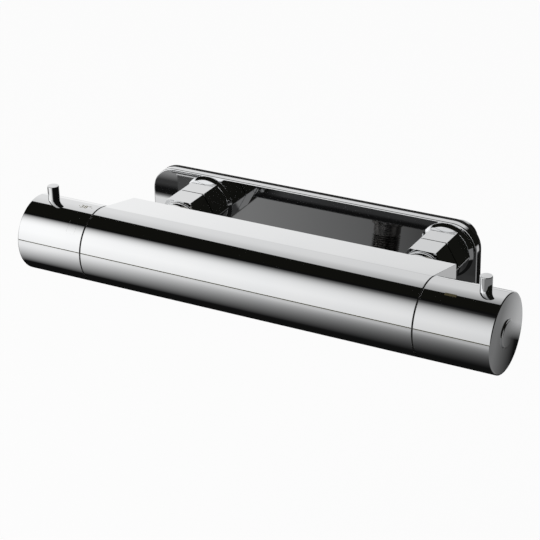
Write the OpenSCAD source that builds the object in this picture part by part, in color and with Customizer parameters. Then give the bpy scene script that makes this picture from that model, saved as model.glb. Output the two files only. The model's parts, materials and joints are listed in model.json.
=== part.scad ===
// Thermostatic bar shower valve: a round chromed body with a flat rear shelf, a knob with
// a short upright lever at each end, two hexagon unions to the wall and one wall plate.
// Origin: on the wall, midway between the two water inlets. +X runs to the right as seen
// from the front, +Y runs into the wall and +Z is up. A "w" value is a distance out from
// the wall, so a place at w lies at y = -w.

/* [Body] */
// Diameter of the round body and of both knobs
body_d = 42.5; // [42:0.5:45]
// Length of the body between its two knob seams
body_l = 197; // [193:1:199]
// Distance from the wall to the body's own axis
axis_to_wall = 82; // [80:1:100]
// Distance from the body's axis back to the shelf's rear face
shelf_depth = 34; // [33.5:0.5:36]
// Height of the shelf's rear top edge above the axis
shelf_top = 14.5; // [13:0.5:17]
// Depth of the shelf's rear bottom edge below the axis
shelf_low = 12; // [11.5:0.5:13]
// Diameter of the round boss where each inlet tail enters the shelf
boss_d = 25; // [22:0.5:26]
// Height of that boss above the shelf's rear face
boss_t = 5.5; // [2:0.1:6]

/* [Waterways] */
// Diameter of the two chambers that hold the cartridges
chamber_d = 29; // [28.8:0.1:29.4]
// Diameter of the bore that carries mixed water between the chambers
mix_bore_d = 16; // [10:0.5:16]
// Diameter of the gallery that brings cold water along the shelf
cold_gallery_d = 7.5; // [6:0.5:7.5]
// Distance from the axis back to the cold gallery
cold_gallery_y = 20.3; // [19.9:0.1:20.5]
// Height of the curved gallery that takes mixed water to the outlet
out_gallery_h = 4; // [2.5:0.5:4]
// Angle that this gallery spans under the chamber
out_gallery_turn = 44; // [36:1:44]
// Diameter of the inlet channels behind the tails
inlet_channel_d = 13; // [9:0.5:13]

/* [Inlets] */
// Distance between the two water inlets
inlet_spacing = 150; // [148:1:154]
// Distance across the flats of the unions and union nuts
hex_af = 26; // [25.5:0.5:28]
// Length of the union nut's hexagon
nut_l = 15; // [13:0.5:16]
// Length of the wall union's hexagon
union_hex_l = 15; // [10:0.5:16]
// Major diameter of a half-inch pipe thread
pipe_d = 20.955; // [20.955:0.001:20.96]
// Length of the pipe thread that screws into the wall
wall_thread_l = 15; // [10:1:20]
// Diameter of the waterway through a wall union
union_bore_d = 14; // [8:0.5:14.5]
// Outside diameter of the inlet tail
tail_d = 15.8; // [15.4:0.1:16]
// Diameter of the inlet tail's waterway
tail_bore_d = 12.8; // [12.7:0.1:13]
// Length of the inlet tail's thread in the body
tail_thread_l = 8; // [6:0.5:8]

/* [Wall plate] */
// Width of the wall plate
plate_w = 205; // [203:1:230]
// Height of the wall plate
plate_h = 56; // [48:1:80]
// Thickness of the wall plate
plate_t = 3.9; // [3:0.1:5]
// Corner radius of the wall plate
plate_corner = 15; // [6:0.5:18]
// Radius of the rounding along the plate's front edge
plate_edge = 0.8; // [0.5:0.1:2.5]
// Distance that the plate's centre sits to the left of the inlets' centre
plate_left = 10; // [0:0.5:11]
// Height of the plate's top edge above the inlets
plate_top = 16.4; // [16.2:0.1:24]
// Thickness of the soft gasket behind the plate
gasket_t = 2.6; // [1:0.1:3]
// Diameter of the clamping ring in front of the plate
ring_d = 32; // [28:0.5:32]
// Thickness of the clamping ring
ring_t = 2.5; // [2:0.1:3]

/* [Knobs] */
// Length of each knob
knob_l = 41.2; // [38:0.1:46]
// Wall thickness of each knob
knob_wall = 3; // [2.6:0.1:3.1]
// Width of the dark seam between a knob and the body
seam_gap = 0.8; // [0.4:0.05:1]
// Radius of the rounding at a knob's outer edge
knob_edge = 0.8; // [0.3:0.1:1.5]
// Diameter of the lever on each knob
lever_d = 6.5; // [5:0.5:8]
// Height of the lever above the knob
lever_rise = 8.2; // [5:0.1:15]
// Distance from the knob's outer end to the lever's axis
lever_inset = 11.7; // [10:0.1:14]
// Diameter of the cap in the knob's end face
cap_d = 14.5; // [12:0.5:16]
// Height of that cap above the end face
cap_rise = 0.9; // [0.3:0.1:1.5]

/* [Outlet] */
// Place of the shower hose outlet along the body
outlet_x = 15; // [5:1:25]
// Distance from the body's axis back to the outlet's axis, along the sloping underside
outlet_back = 16.6; // [16:0.1:17]
// Major diameter of the outlet's three-eighths-inch pipe thread
hose_d = 16.662; // [16.66:0.001:16.67]
// Length of the outlet's pipe thread
outlet_thread_l = 12; // [9:1:14]
// Length of the plain shoulder above that thread
outlet_shoulder_l = 5; // [2:0.5:6]
// Diameter of the outlet's waterway
outlet_bore_d = 10.4; // [8:0.2:10.4]

/* [Motion] */
// Turn of the temperature knob from the 38 degree mark to cold
temp_to_cold = 135; // [90:5:150]
// Turn of the temperature knob from the 38 degree mark to hot
temp_to_hot = 45; // [20:5:60]
// Turn of the flow knob from closed to fully open
flow_turn = 90; // [60:5:120]

/* [Hidden] */
$fn = 96;

// Clearances that every fit is made from
running_clear = 0.05;
shuttle_clear = 0.04;
seat_clear = 0.05;
press_clear = 0.02;
seal_clear = 0.02;
face_clear = 0.1;
housing_clear = 0.15;
loose_clear = 0.2;
// One overrun for every cut
over = 1;
// Straight pieces in a small rounding, and rings in a turn of a coil spring
arc_steps = 6;
rings_per_turn = 12;

// Derived sizes of the body
body_r = body_d / 2;
chamber_r = chamber_d / 2;
end_x = body_l / 2;
inlet_x = inlet_spacing / 2;
shelf_w = axis_to_wall - shelf_depth;
body_chamfer = 0.35;

// Chain of pieces from the wall out to the shelf
plate_w0 = gasket_t;
ring_w0 = plate_w0 + plate_t;
union_w0 = ring_w0 + ring_t;
union_w1 = union_w0 + union_hex_l;
nut_seam = 0.3;
nut_w0 = union_w1 + nut_seam;
nut_w1 = nut_w0 + nut_l;
nut_lip_t = 5;
nut_chamfer = 1.2;
nut_room = 1;
hex_corner_r = hex_af / sqrt(3);
pipe_r = pipe_d / 2;
flange_w1 = nut_w1 - nut_lip_t - seat_clear;
flange_t = 2;
flange_w0 = flange_w1 - flange_t;
flange_lip = 1.3;
flange_r = tail_d / 2 + flange_lip;
washer_t = 1.5;
washer_w0 = flange_w0 - washer_t;
washer_hole_r = tail_bore_d / 2 + flange_t / 2;
boss_w = shelf_w - boss_t;
boss_chamfer = 0.5;
tail_seal_t = 1.2;
tail_lip_t = 1.5;
tail_lip_r = tail_bore_d / 2 - tail_lip_t / 1.5;
plate_hole_r = pipe_r + loose_clear * 2.5;
union_relief = 0.6;
union_relief_r = pipe_r - union_relief;

// Filter discs
filter_t = 0.6;
filter_hole_r = 0.45;
filter_pitch = 1.7;
filter_rows = 3;

// Check valve cartridge in each tail
check_l = 14;
check_inset = 3.75;
check_r = tail_bore_d / 2 - seat_clear;
check_wall = 1.15;
check_bore_r = check_r - check_wall;
check_seat_t = 2;
check_seat_r = 3.8;
check_spider_t = 2;
check_port_r = 1.15;
check_port_ring_r = 3.3;
check_ports = 6;
poppet_r = 4.5;
poppet_t = 2;
stem_r = 1;
stem_tip = 0.4;
check_spring_r = 2.1;
check_wire_r = 0.3;
check_turns = 5;
check_w0 = flange_w0 + check_inset;
check_w1 = check_w0 + check_l;
tail_w1 = max(shelf_w + tail_thread_l, check_w1 + seat_clear + tail_lip_t);
port_w1 = tail_w1 + tail_seal_t;
poppet_w0 = check_w0 + check_seat_t + running_clear;

// Outlet, square to the shelf's sloping underside. Its own Z axis leans by that slope.
outlet_face_z = -body_r;
outlet_port_r = 7.6;
outlet_port_z = -11;
out_gallery_wall = 1.2;
out_gallery_r = chamber_r + out_gallery_wall;
out_gallery_clear = 3;
outlet_flange_r = 9.5;
outlet_flange_t = 2.5;
outlet_shoulder_r = 8;
hose_r = hose_d / 2;
outlet_spigot_l = 4.5;
outlet_groove_w = 1.7;
outlet_groove_depth = 1.3;
outlet_groove_up = 1.4;

// Spigot at each end of the body, and the counterbore for the cartridge
spigot_r = 17.2;
spigot_l = 5;
counter_r = 15.5;
counter_depth = 6;
temp_depth = 60.5;
flow_depth = 45;
glide_r = body_r - knob_wall - running_clear;
glide_l = 4.4;
glide_lip_in = 0.8;
glide_lip_r = body_r - glide_lip_in;

// Both cartridge housings share these sizes
housing_r = chamber_r - housing_clear;
housing_flange_r = counter_r - housing_clear;
housing_flange_t = 3;
neck_r = 9;
neck_end = 12;
neck_bore_r = 5;
shaft_r = neck_bore_r - running_clear;
groove_w = 2.4;
groove_r = 12.7;
lock_nut_r = counter_r - face_clear;
lock_nut_end = 4;
lock_nut_hole_r = neck_r + loose_clear;
lock_slot_w = 3;
lock_slot_depth = 2;
spindle_seal_at = 9;
spindle_groove_w = 1.6;
spindle_groove_r = 3.75;

// Spline and knob hub
spline_r = 4;
spline_root_share = 0.88;
spline_teeth = 20;
spline_from = 13;
spline_end = 30;
hub_r = 7.5;
hub_from = 16;
hub_bore_end = spline_end + over;
knob_face_t = 4.5;
knob_end = seam_gap + knob_l;
cap_depth = 2.4;
cap_edge = 0.5;
cap_gap = 0.15;
screw_r = 2;
screw_head_r = 3.5;
screw_head_t = 2.6;
screw_socket_r = 1.6;
screw_socket_depth = 1.5;
screw_pocket_r = 3.8;
screw_in_spindle = 8;
screw_pocket_depth = 5.5;
screw_pocket_from = knob_end - screw_pocket_depth;

// Lever seat in the knob's wall
lever_at = knob_end - lever_inset;
lever_seat_depth = 1.7;
lever_seat_r = body_r - lever_seat_depth;
lever_stud_r = 2;
lever_stud_in = 2.6;
lever_chamfer = 0.4;
lever_top_r = body_r + lever_rise;

// Stop ring and the rib that runs between its ends
stop_from = 5.5;
stop_t = 4;
stop_disc_r = 12;
stop_lug_r = 16.5;
rib_in_r = 13;
rib_w = 4;
rib_from = 6;
rib_t = 3;
rib_half = asin(rib_w / 2 / rib_in_r);
stop_margin = 1;

// Thermostat cartridge, in distances inward from the body's end
temp_end_gap = 0.5;
temp_in = temp_depth - temp_end_gap;
hot_groove_from = 17;
hot_groove_to = 31;
cold_groove_from = 34;
cold_groove_to = 43;
annulus_r = 11.5;
bore_r = 9;
lip_r = 8;
guide_from = 6;
hot_lip_from = 24;
hot_lip_to = 26;
cold_lip_from = 38;
cold_lip_to = 40;
mix_floor_t = 3;
mix_floor = temp_in - mix_floor_t;
mix_hole_r = 5;
port_r = 1.4;
ports = 6;
hot_port_at = 27.5;
cold_port_at = 36.5;
temp_seal_at = [13.2, 32.5, 45.2];
collar_r = 7;
collar_from = 6.1;
collar_to = 8.5;
thread_r = 4;
thread_to = 17;
nut_from = 11;
nut_cup_from = 15;
nut_to = 21;
nut_out_r = bore_r - running_clear;
nut_cup_r = 7;
cup_t = 1;
cup_r = nut_cup_r - running_clear;
cup_dimple_r = 1.7;
cup_dimple_depth = 0.4;
over_spring_r = 5.7;
over_wire_r = 0.5;
over_turns = 3;
piston_r = 1.6;
piston_to = 24.5;
guide_r = 3;
guide_to = 29;
element_flange_r = 5.6;
element_flange_to = 31;
bulb_r = 4.6;
bulb_room = 7;
bulb_to = mix_floor - bulb_room;
shuttle_from = 27.8;
shuttle_to = 36.8;
shuttle_r = bore_r - shuttle_clear;
shuttle_in_r = 7.6;
web_t = 2;
web_hole_r = 0.85;
web_hole_ring_r = 6.6;
web_holes = 8;
return_spring_r = 6;
return_wire_r = 0.55;
return_turns = 7;

// Flow cartridge, in distances inward from the body's end
flow_end_gap = 1;
flow_in = flow_depth - flow_end_gap;
flow_chamber_r = 12;
flow_chamber_from = 12;
flow_annulus_r = 13.2;
flow_groove_from = 28;
flow_groove_to = 38;
window_r = 3;
windows = 4;
window_at = 33;
flow_seal_at = [18.8, 41];
flow_groove_r = [groove_r, 12.9];
disc_r = flow_chamber_r - face_clear;
base_seal_t = 2.2;
base_seal_hole_r = 7.9;
fixed_disc_t = 3.5;
disc_gap = 0.03;
moving_disc_t = 3.5;
moving_disc_gap = 0.5;
moving_disc_r = flow_chamber_r - moving_disc_gap;
foot_t = 4;
foot_gap = 0.4;
foot_r = flow_chamber_r - foot_gap;
kidney_r = 2.8;
kidney_ring_r = 5.6;
key_w = 3;
key_t = 1.2;
fixed_from = flow_depth - base_seal_t - fixed_disc_t;
moving_from = fixed_from - disc_gap - moving_disc_t;
foot_from = moving_from - foot_t;

// Points along an arc, for outlines
function arc(cx, cy, r, a0, a1) =
    [for (i = [0:arc_steps]) let (a = a0 + (a1 - a0) * i / arc_steps) [cx + r * cos(a), cy + r * sin(a)]];

// Point where a straight line from p touches the round body, above or below
function tangent(p, r, side) =
    let (a = atan2(p[1], p[0]) + side * acos(r / norm(p))) [r * cos(a), r * sin(a)];

// Placement helpers: on the body's axis, at the left or right end, or at one inlet
module on_axis() {
    translate([0, -axis_to_wall, 0]) children();
}

module at_right() {
    translate([end_x, -axis_to_wall, 0]) children();
}

module at_left() {
    translate([-end_x, -axis_to_wall, 0]) mirror([1, 0, 0]) children();
}

module at_inlet(side) {
    translate([side * inlet_x, 0, 0]) children();
}

// Rods along each axis, given by their two ends
module x_rod(x0, x1, r) {
    translate([x0, 0, 0]) rotate([0, 90, 0]) cylinder(h = x1 - x0, r = r);
}

module w_rod(w0, w1, r) {
    translate([0, -w1, 0]) rotate([-90, 0, 0]) cylinder(h = w1 - w0, r = r);
}

module z_rod(z0, z1, r) {
    translate([0, 0, z0]) cylinder(h = z1 - z0, r = r);
}

// A turned piece about the X axis, from points given as radius and place along X
module turned(points) {
    rotate([0, 90, 0]) rotate_extrude() polygon(points);
}

// A turned piece about the wall direction, from points given as radius and w
module turned_w(points) {
    rotate([90, 0, 0]) rotate_extrude() polygon(points);
}

// A rubber ring of round section about the X axis
module x_ring(at, ring_r, wire_r) {
    translate([at, 0, 0]) rotate([0, 90, 0]) rotate_extrude() translate([ring_r, 0]) circle(r = wire_r);
}

// A hexagonal bar along the wall direction with a flat on top and chamfered ends
module hex_bar(w0, w1, front_chamfer, rear_chamfer) {
    intersection() {
        translate([0, -w1, 0]) rotate([-90, 0, 0]) cylinder(h = w1 - w0, r = hex_corner_r, $fn = 6);
        turned_w([
            [0, w0], [hex_corner_r - rear_chamfer * 2, w0], [hex_corner_r, w0 + rear_chamfer],
            [hex_corner_r, w1 - front_chamfer], [hex_corner_r - front_chamfer * 2, w1], [0, w1]
        ]);
    }
}

// A coil spring that stands on Z, as one six-sided tube
module coil(mean_r, wire_r, length, turns) {
    sides = 6;
    rings = round(turns * rings_per_turn);
    points = [
        for (i = [0:rings]) let (
            turn = 360 * turns * i / rings,
            rise = wire_r + (length - 2 * wire_r) * i / rings
        )
        for (k = [0:sides - 1]) let (
            a = 360 * k / sides,
            r = mean_r + wire_r * cos(a)
        )
        [r * cos(turn), r * sin(turn), rise + wire_r * sin(a)]
    ];
    skin = [
        for (i = [0:rings - 1], k = [0:sides - 1], half = [0, 1]) let (
            a = i * sides + k,
            b = i * sides + (k + 1) % sides,
            c = a + sides,
            d = b + sides
        )
        half == 0 ? [a, b, c] : [b, d, c]
    ];
    first = [for (k = [1:sides - 2]) [0, k + 1, k]];
    last = [for (k = [1:sides - 2]) [rings * sides, rings * sides + k, rings * sides + k + 1]];
    polyhedron(points = points, faces = concat(skin, first, last));
}

// A pie slice about the X axis that starts at angle a0 from +Z and spans a given angle
module slice(r, from, t, a0, span) {
    steps = ceil(span / 15);
    reach = r / cos(span / steps / 2);
    points = concat(
        [[0, 0]],
        [for (i = [0:steps]) let (a = a0 + span * i / steps) [-reach * sin(a), reach * cos(a)]]
    );
    translate([from, 0, 0]) rotate([90, 0, 90]) linear_extrude(height = t) polygon(points);
}

// Body

// Round bar with slightly chamfered ends, and the shelf that leaves it along two tangents
module body_shell() {
    top = [shelf_depth, shelf_top];
    low = [shelf_depth, -shelf_low];
    turned([
        [0, -end_x], [body_r - body_chamfer, -end_x], [body_r, -end_x + body_chamfer],
        [body_r, end_x - body_chamfer], [body_r - body_chamfer, end_x], [0, end_x]
    ]);
    rotate([90, 0, 90]) translate([0, 0, -end_x]) linear_extrude(height = body_l)
        polygon([[0, 0], tangent(top, body_r, 1), top, low, tangent(low, body_r, -1)]);
}

// Slope of the shelf's underside
low_touch = tangent([shelf_depth, -shelf_low], body_r, -1);
shelf_tilt = 90 + atan2(low_touch[1], low_touch[0]);

// Curved slot along X under the axis, between two radii and two places along X
module under_slot(x0, x1, r0, r1) {
    difference() {
        intersection() {
            x_rod(x0, x1, r1);
            slice(body_r, x0, x1 - x0, 180 + shelf_tilt + out_gallery_clear, out_gallery_turn);
        }
        x_rod(x0 - over, x1 + over, r0);
    }
}

// Gallery from the flow chamber's annulus to the outlet port, and its opening upward
module outlet_gallery() {
    window_x = end_x - (flow_groove_from + flow_groove_to) / 2;
    half = (flow_groove_to - flow_groove_from) / 2;
    under_slot(outlet_x, window_x + half, out_gallery_r, out_gallery_r + out_gallery_h);
    under_slot(window_x - half, window_x + half, chamber_r - over, out_gallery_r + over);
}

module inlet_port(side) {
    at_inlet(side) {
        w_rod(boss_w - over, port_w1, tail_d / 2 + seat_clear);
        w_rod(nut_w0, nut_w1 + nut_room, hex_corner_r + nut_room);
        w_rod(port_w1 - over, axis_to_wall - cold_gallery_y + cold_gallery_d / 2, inlet_channel_d / 2);
    }
}

module end_bores(depth) {
    x_rod(-depth, spigot_l + over, chamber_r);
    x_rod(-counter_depth, spigot_l + over, counter_r);
}

module valve_body() {
    color("silver") difference() {
        union() {
            on_axis() body_shell();
            for (side = [-1, 1]) at_inlet(side) turned_w([
                [0, boss_w], [boss_d / 2 - boss_chamfer, boss_w], [boss_d / 2, boss_w + boss_chamfer],
                [boss_d / 2, shelf_w + over], [0, shelf_w + over]
            ]);
            at_left() x_rod(-over, spigot_l, spigot_r);
            at_right() x_rod(-over, spigot_l, spigot_r);
        }
        at_left() end_bores(temp_depth);
        at_right() end_bores(flow_depth);
        on_axis() x_rod(-end_x + temp_depth - over, end_x - flow_depth + over, mix_bore_d / 2);
        inlet_port(-1);
        inlet_port(1);
        at_inlet(-1) w_rod(port_w1, axis_to_wall - chamber_r / 2, inlet_channel_d / 2);
        on_axis() translate([0, cold_gallery_y, 0])
            x_rod(cold_mid_x - cold_gallery_d / 2, inlet_x + cold_gallery_d / 2, cold_gallery_d / 2);
        translate([cold_mid_x, 0, 0])
            w_rod(axis_to_wall - cold_gallery_y, axis_to_wall - chamber_r / 2, cold_gallery_d / 2);
        on_axis() outlet_gallery();
        at_outlet() z_rod(outlet_face_z - over, outlet_port_z, outlet_port_r);
    }
}

// Middle of the thermostat's cold groove, where the cold gallery meets the chamber
cold_mid_x = -end_x + (cold_groove_from + cold_groove_to) / 2;

// Wall plate, gasket and clamping rings

// Outline of the plate's section: flat at the back, rounded along both front edges
function plate_section(half) = concat(
    [[-half, plate_w0], [half, plate_w0]],
    arc(half - plate_edge, ring_w0 - plate_edge, plate_edge, 0, 90),
    arc(-half + plate_edge, ring_w0 - plate_edge, plate_edge, 90, 180)
);

// Half of that section, to be turned for the corners
function corner_section(half) = concat(
    [[0, plate_w0], [half, plate_w0]],
    arc(half - plate_edge, ring_w0 - plate_edge, plate_edge, 0, 90),
    [[0, ring_w0]]
);

module plate_solid() {
    half_w = plate_w / 2 - plate_corner;
    half_h = plate_h / 2 - plate_corner;
    translate([-half_w, 0, 0]) rotate([90, 0, 90]) linear_extrude(height = 2 * half_w)
        rotate(90) polygon(plate_section(plate_h / 2));
    translate([0, 0, -half_h]) linear_extrude(height = 2 * half_h)
        mirror([0, 1]) polygon(plate_section(plate_w / 2));
    for (sx = [-1, 1], sz = [-1, 1]) translate([sx * half_w, 0, sz * half_h])
        turned_w(corner_section(plate_corner));
}

module plate_place() {
    translate([-plate_left, 0, plate_top - plate_h / 2]) children();
}

module wall_plate() {
    color("lightgray") difference() {
        plate_place() plate_solid();
        for (side = [-1, 1]) at_inlet(side) w_rod(-over, union_w0 + over, plate_hole_r);
    }
}

module wall_gasket() {
    color("black") difference() {
        plate_place() {
            half_w = plate_w / 2 - plate_corner;
            half_h = plate_h / 2 - plate_corner;
            translate([-plate_w / 2, -gasket_t, -half_h]) cube([plate_w, gasket_t, 2 * half_h]);
            translate([-half_w, -gasket_t, -plate_h / 2]) cube([2 * half_w, gasket_t, plate_h]);
            for (sx = [-1, 1], sz = [-1, 1]) translate([sx * half_w, 0, sz * half_h])
                w_rod(0, gasket_t, plate_corner);
        }
        for (side = [-1, 1]) at_inlet(side) w_rod(-over, gasket_t + over, plate_hole_r);
    }
}

module plate_rings() {
    edge = ring_t / 3;
    color("lightgray") for (side = [-1, 1]) at_inlet(side) difference() {
        turned_w([
            [0, ring_w0], [ring_d / 2, ring_w0], [ring_d / 2, union_w0 - edge],
            [ring_d / 2 - edge, union_w0], [0, union_w0]
        ]);
        w_rod(ring_w0 - over, union_w0 + over, pipe_r + seat_clear);
    }
}

// Wall unions and union nuts

module wall_union(side) {
    thread_chamfer = pipe_r / 10;
    color("silver") at_inlet(side) difference() {
        union() {
            hex_bar(union_w0, union_w1, nut_chamfer / 3, nut_chamfer);
            w_rod(union_w1 - over, washer_w0, pipe_r);
            turned_w([
                [0, -wall_thread_l], [pipe_r - thread_chamfer, -wall_thread_l],
                [pipe_r, -wall_thread_l + thread_chamfer], [pipe_r, 0], [union_relief_r, 0],
                [union_relief_r, union_w0 + over], [0, union_w0 + over]
            ]);
        }
        w_rod(-wall_thread_l - over, washer_w0 + over, union_bore_d / 2);
    }
}

module hot_wall_union() { wall_union(-1); }

module cold_wall_union() { wall_union(1); }

module union_nut(side) {
    color("silver") at_inlet(side) difference() {
        hex_bar(nut_w0, nut_w1, nut_chamfer, nut_chamfer / 3);
        w_rod(nut_w0 - over, nut_w1 - nut_lip_t, pipe_r + seat_clear);
        w_rod(nut_w0, nut_w1 + over, tail_d / 2 + seat_clear * 3);
    }
}

module hot_union_nut() { union_nut(-1); }

module cold_union_nut() { union_nut(1); }

// Inlet tails, their seals, washers and filters

module inlet_tail(side) {
    color("goldenrod") at_inlet(side) difference() {
        union() {
            w_rod(flange_w0, flange_w1, flange_r);
            w_rod(flange_w1 - flange_t / 2, tail_w1, tail_d / 2);
        }
        w_rod(flange_w0 - over, tail_w1 - tail_lip_t, tail_bore_d / 2);
        w_rod(flange_w0, tail_w1 + over, tail_lip_r);
    }
}

module hot_inlet_tail() { inlet_tail(-1); }

module cold_inlet_tail() { inlet_tail(1); }

module inlet_tail_seals() {
    color("dimgray") for (side = [-1, 1]) at_inlet(side) difference() {
        w_rod(tail_w1, port_w1, tail_d / 2);
        w_rod(tail_w1 - over, port_w1 + over, inlet_channel_d / 2);
    }
}

module inlet_washers() {
    color("dimgray") for (side = [-1, 1]) at_inlet(side) difference() {
        w_rod(washer_w0, flange_w0, flange_r);
        w_rod(washer_w0 - over, flange_w0 + over, washer_hole_r);
    }
}

module inlet_filters() {
    mid = (washer_w0 + flange_w0) / 2;
    color("gainsboro") for (side = [-1, 1]) at_inlet(side) difference() {
        w_rod(mid - filter_t / 2, mid + filter_t / 2, washer_hole_r - seat_clear);
        for (i = [-filter_rows:filter_rows], j = [-filter_rows:filter_rows])
            if (norm([i, j]) * filter_pitch < washer_hole_r - filter_pitch)
                translate([i * filter_pitch, 0, j * filter_pitch])
                    w_rod(mid - filter_t, mid + filter_t, filter_hole_r);
    }
}

// Check valves

module check_housing(side) {
    color("white") at_inlet(side) difference() {
        w_rod(check_w0, check_w1, check_r);
        w_rod(check_w0 + check_seat_t, check_w1 - check_spider_t, check_bore_r);
        w_rod(check_w0 - over, check_w0 + check_seat_t + over, check_seat_r);
        w_rod(check_w0, check_w1 + over, stem_r + running_clear);
        for (i = [0:check_ports - 1]) rotate([0, 360 * i / check_ports, 0])
            translate([check_port_ring_r, 0, 0])
                w_rod(check_w1 - check_spider_t - over, check_w1 + over, check_port_r);
    }
}

module hot_check_housing() { check_housing(-1); }

module cold_check_housing() { check_housing(1); }

module check_poppet(side) {
    color("ivory") at_inlet(side) turned_w([
        [0, poppet_w0], [poppet_r, poppet_w0], [poppet_r, poppet_w0 + poppet_t / 2],
        [stem_r * 1.5, poppet_w0 + poppet_t], [stem_r, poppet_w0 + poppet_t],
        [stem_r, check_w1 - stem_tip], [0, check_w1 - stem_tip]
    ]);
}

module hot_check_poppet() { check_poppet(-1); }

module cold_check_poppet() { check_poppet(1); }

module check_spring(side) {
    from = poppet_w0 + poppet_t + seat_clear;
    to = check_w1 - check_spider_t - seat_clear;
    color("darkgray") at_inlet(side) translate([0, -from, 0]) rotate([90, 0, 0])
        coil(check_spring_r, check_wire_r, to - from, check_turns);
}

module hot_check_spring() { check_spring(-1); }

module cold_check_spring() { check_spring(1); }

// Outlet

module at_outlet() {
    on_axis() rotate([shelf_tilt, 0, 0]) translate([outlet_x, outlet_back, 0]) children();
}

outlet_flange_z = outlet_face_z - outlet_flange_t;
outlet_shoulder_z = outlet_flange_z - outlet_shoulder_l;
outlet_tip_z = outlet_shoulder_z - outlet_thread_l;
outlet_groove_z = outlet_face_z + outlet_groove_up;

module outlet_nipple() {
    thread_chamfer = hose_r / 10;
    color("silver") at_outlet() difference() {
        union() {
            rotate_extrude() polygon([
                [0, outlet_tip_z], [hose_r - thread_chamfer, outlet_tip_z],
                [hose_r, outlet_tip_z + thread_chamfer], [hose_r, outlet_shoulder_z],
                [outlet_shoulder_r, outlet_shoulder_z], [outlet_shoulder_r, outlet_flange_z],
                [outlet_flange_r, outlet_flange_z], [outlet_flange_r, outlet_face_z], [0, outlet_face_z]
            ]);
            z_rod(outlet_face_z - over, outlet_face_z + outlet_spigot_l, outlet_port_r - seat_clear);
        }
        z_rod(outlet_tip_z - over, outlet_face_z + outlet_spigot_l + over, outlet_bore_d / 2);
        difference() {
            z_rod(outlet_groove_z, outlet_groove_z + outlet_groove_w, outlet_port_r + over);
            z_rod(outlet_groove_z - over, outlet_groove_z + outlet_groove_w + over,
                outlet_port_r - outlet_groove_depth);
        }
    }
}

module outlet_seal() {
    wire_r = outlet_groove_depth / 2 - seal_clear;
    color("dimgray") at_outlet() translate([0, 0, outlet_groove_z + outlet_groove_w / 2])
        rotate_extrude() translate([outlet_port_r - outlet_groove_depth / 2, 0]) circle(r = wire_r);
}

// Shared pieces of the two cartridges

// Ring-shaped groove cut into a rod along X
module groove(from, to, floor_r) {
    difference() {
        x_rod(from, to, chamber_r + over);
        x_rod(from - over, to + over, floor_r);
    }
}

module cartridge_blank(depth) {
    x_rod(-depth, -guide_from, housing_r);
    x_rod(-counter_depth, -counter_depth + housing_flange_t, housing_flange_r);
    x_rod(-counter_depth, neck_end, neck_r);
}

module radial_holes(count, at, r, reach) {
    for (i = [0:count - 1]) rotate([360 * i / count, 0, 0])
        translate([at, 0, 0]) cylinder(h = reach, r = r);
}

module lock_nut() {
    difference() {
        x_rod(-counter_depth + housing_flange_t, lock_nut_end, lock_nut_r);
        x_rod(-counter_depth, lock_nut_end + over, lock_nut_hole_r);
        for (a = [0, 90]) rotate([a, 0, 0])
            translate([lock_nut_end - lock_slot_depth, -lock_slot_w / 2, -counter_r])
                cube([lock_slot_depth + over, lock_slot_w, 2 * counter_r]);
    }
}

module housing_seal(at, floor_r) {
    wire_r = (chamber_r - floor_r) / 2 - seal_clear;
    x_ring(-at, (chamber_r + floor_r) / 2, wire_r);
}

// Splined shaft end: a rod with straight-sided teeth
module spline_rod() {
    points = [
        for (i = [0:spline_teeth * 4 - 1]) let (
            a = 360 * i / (spline_teeth * 4),
            r = i % 4 < 2 ? spline_r : spline_r * spline_root_share
        )
        [r * cos(a), r * sin(a)]
    ];
    translate([spline_from - over, 0, 0]) rotate([90, 0, 90])
        linear_extrude(height = spline_end - spline_from + over) polygon(points);
}

module shaft_cuts() {
    difference() {
        x_rod(spindle_seal_at - spindle_groove_w / 2, spindle_seal_at + spindle_groove_w / 2, shaft_r + over);
        x_rod(spindle_seal_at - spindle_groove_w, spindle_seal_at + spindle_groove_w, spindle_groove_r);
    }
    x_rod(spline_end - screw_in_spindle, spline_end + over, screw_r + seat_clear);
}

module spindle_seal() {
    wire_r = (neck_bore_r - spindle_groove_r) / 2 - seal_clear;
    x_ring(spindle_seal_at, (neck_bore_r + spindle_groove_r) / 2, wire_r);
}

// Fixed stop: a ring on the neck with a long lug that leaves only the knob's travel free.
// Angles count from the rib at rest, positive as the knob's top comes forward.
module stop_ring(back, ahead) {
    open_from = -back - rib_half - stop_margin;
    open_span = back + ahead + 2 * (rib_half + stop_margin);
    difference() {
        union() {
            x_rod(stop_from, stop_from + stop_t, stop_disc_r);
            difference() {
                x_rod(stop_from, stop_from + stop_t, stop_lug_r);
                slice(stop_lug_r + over, stop_from - over, stop_t + 2 * over, open_from, open_span);
            }
        }
        x_rod(stop_from - over, stop_from + stop_t + over, neck_r + seat_clear);
    }
}

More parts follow.
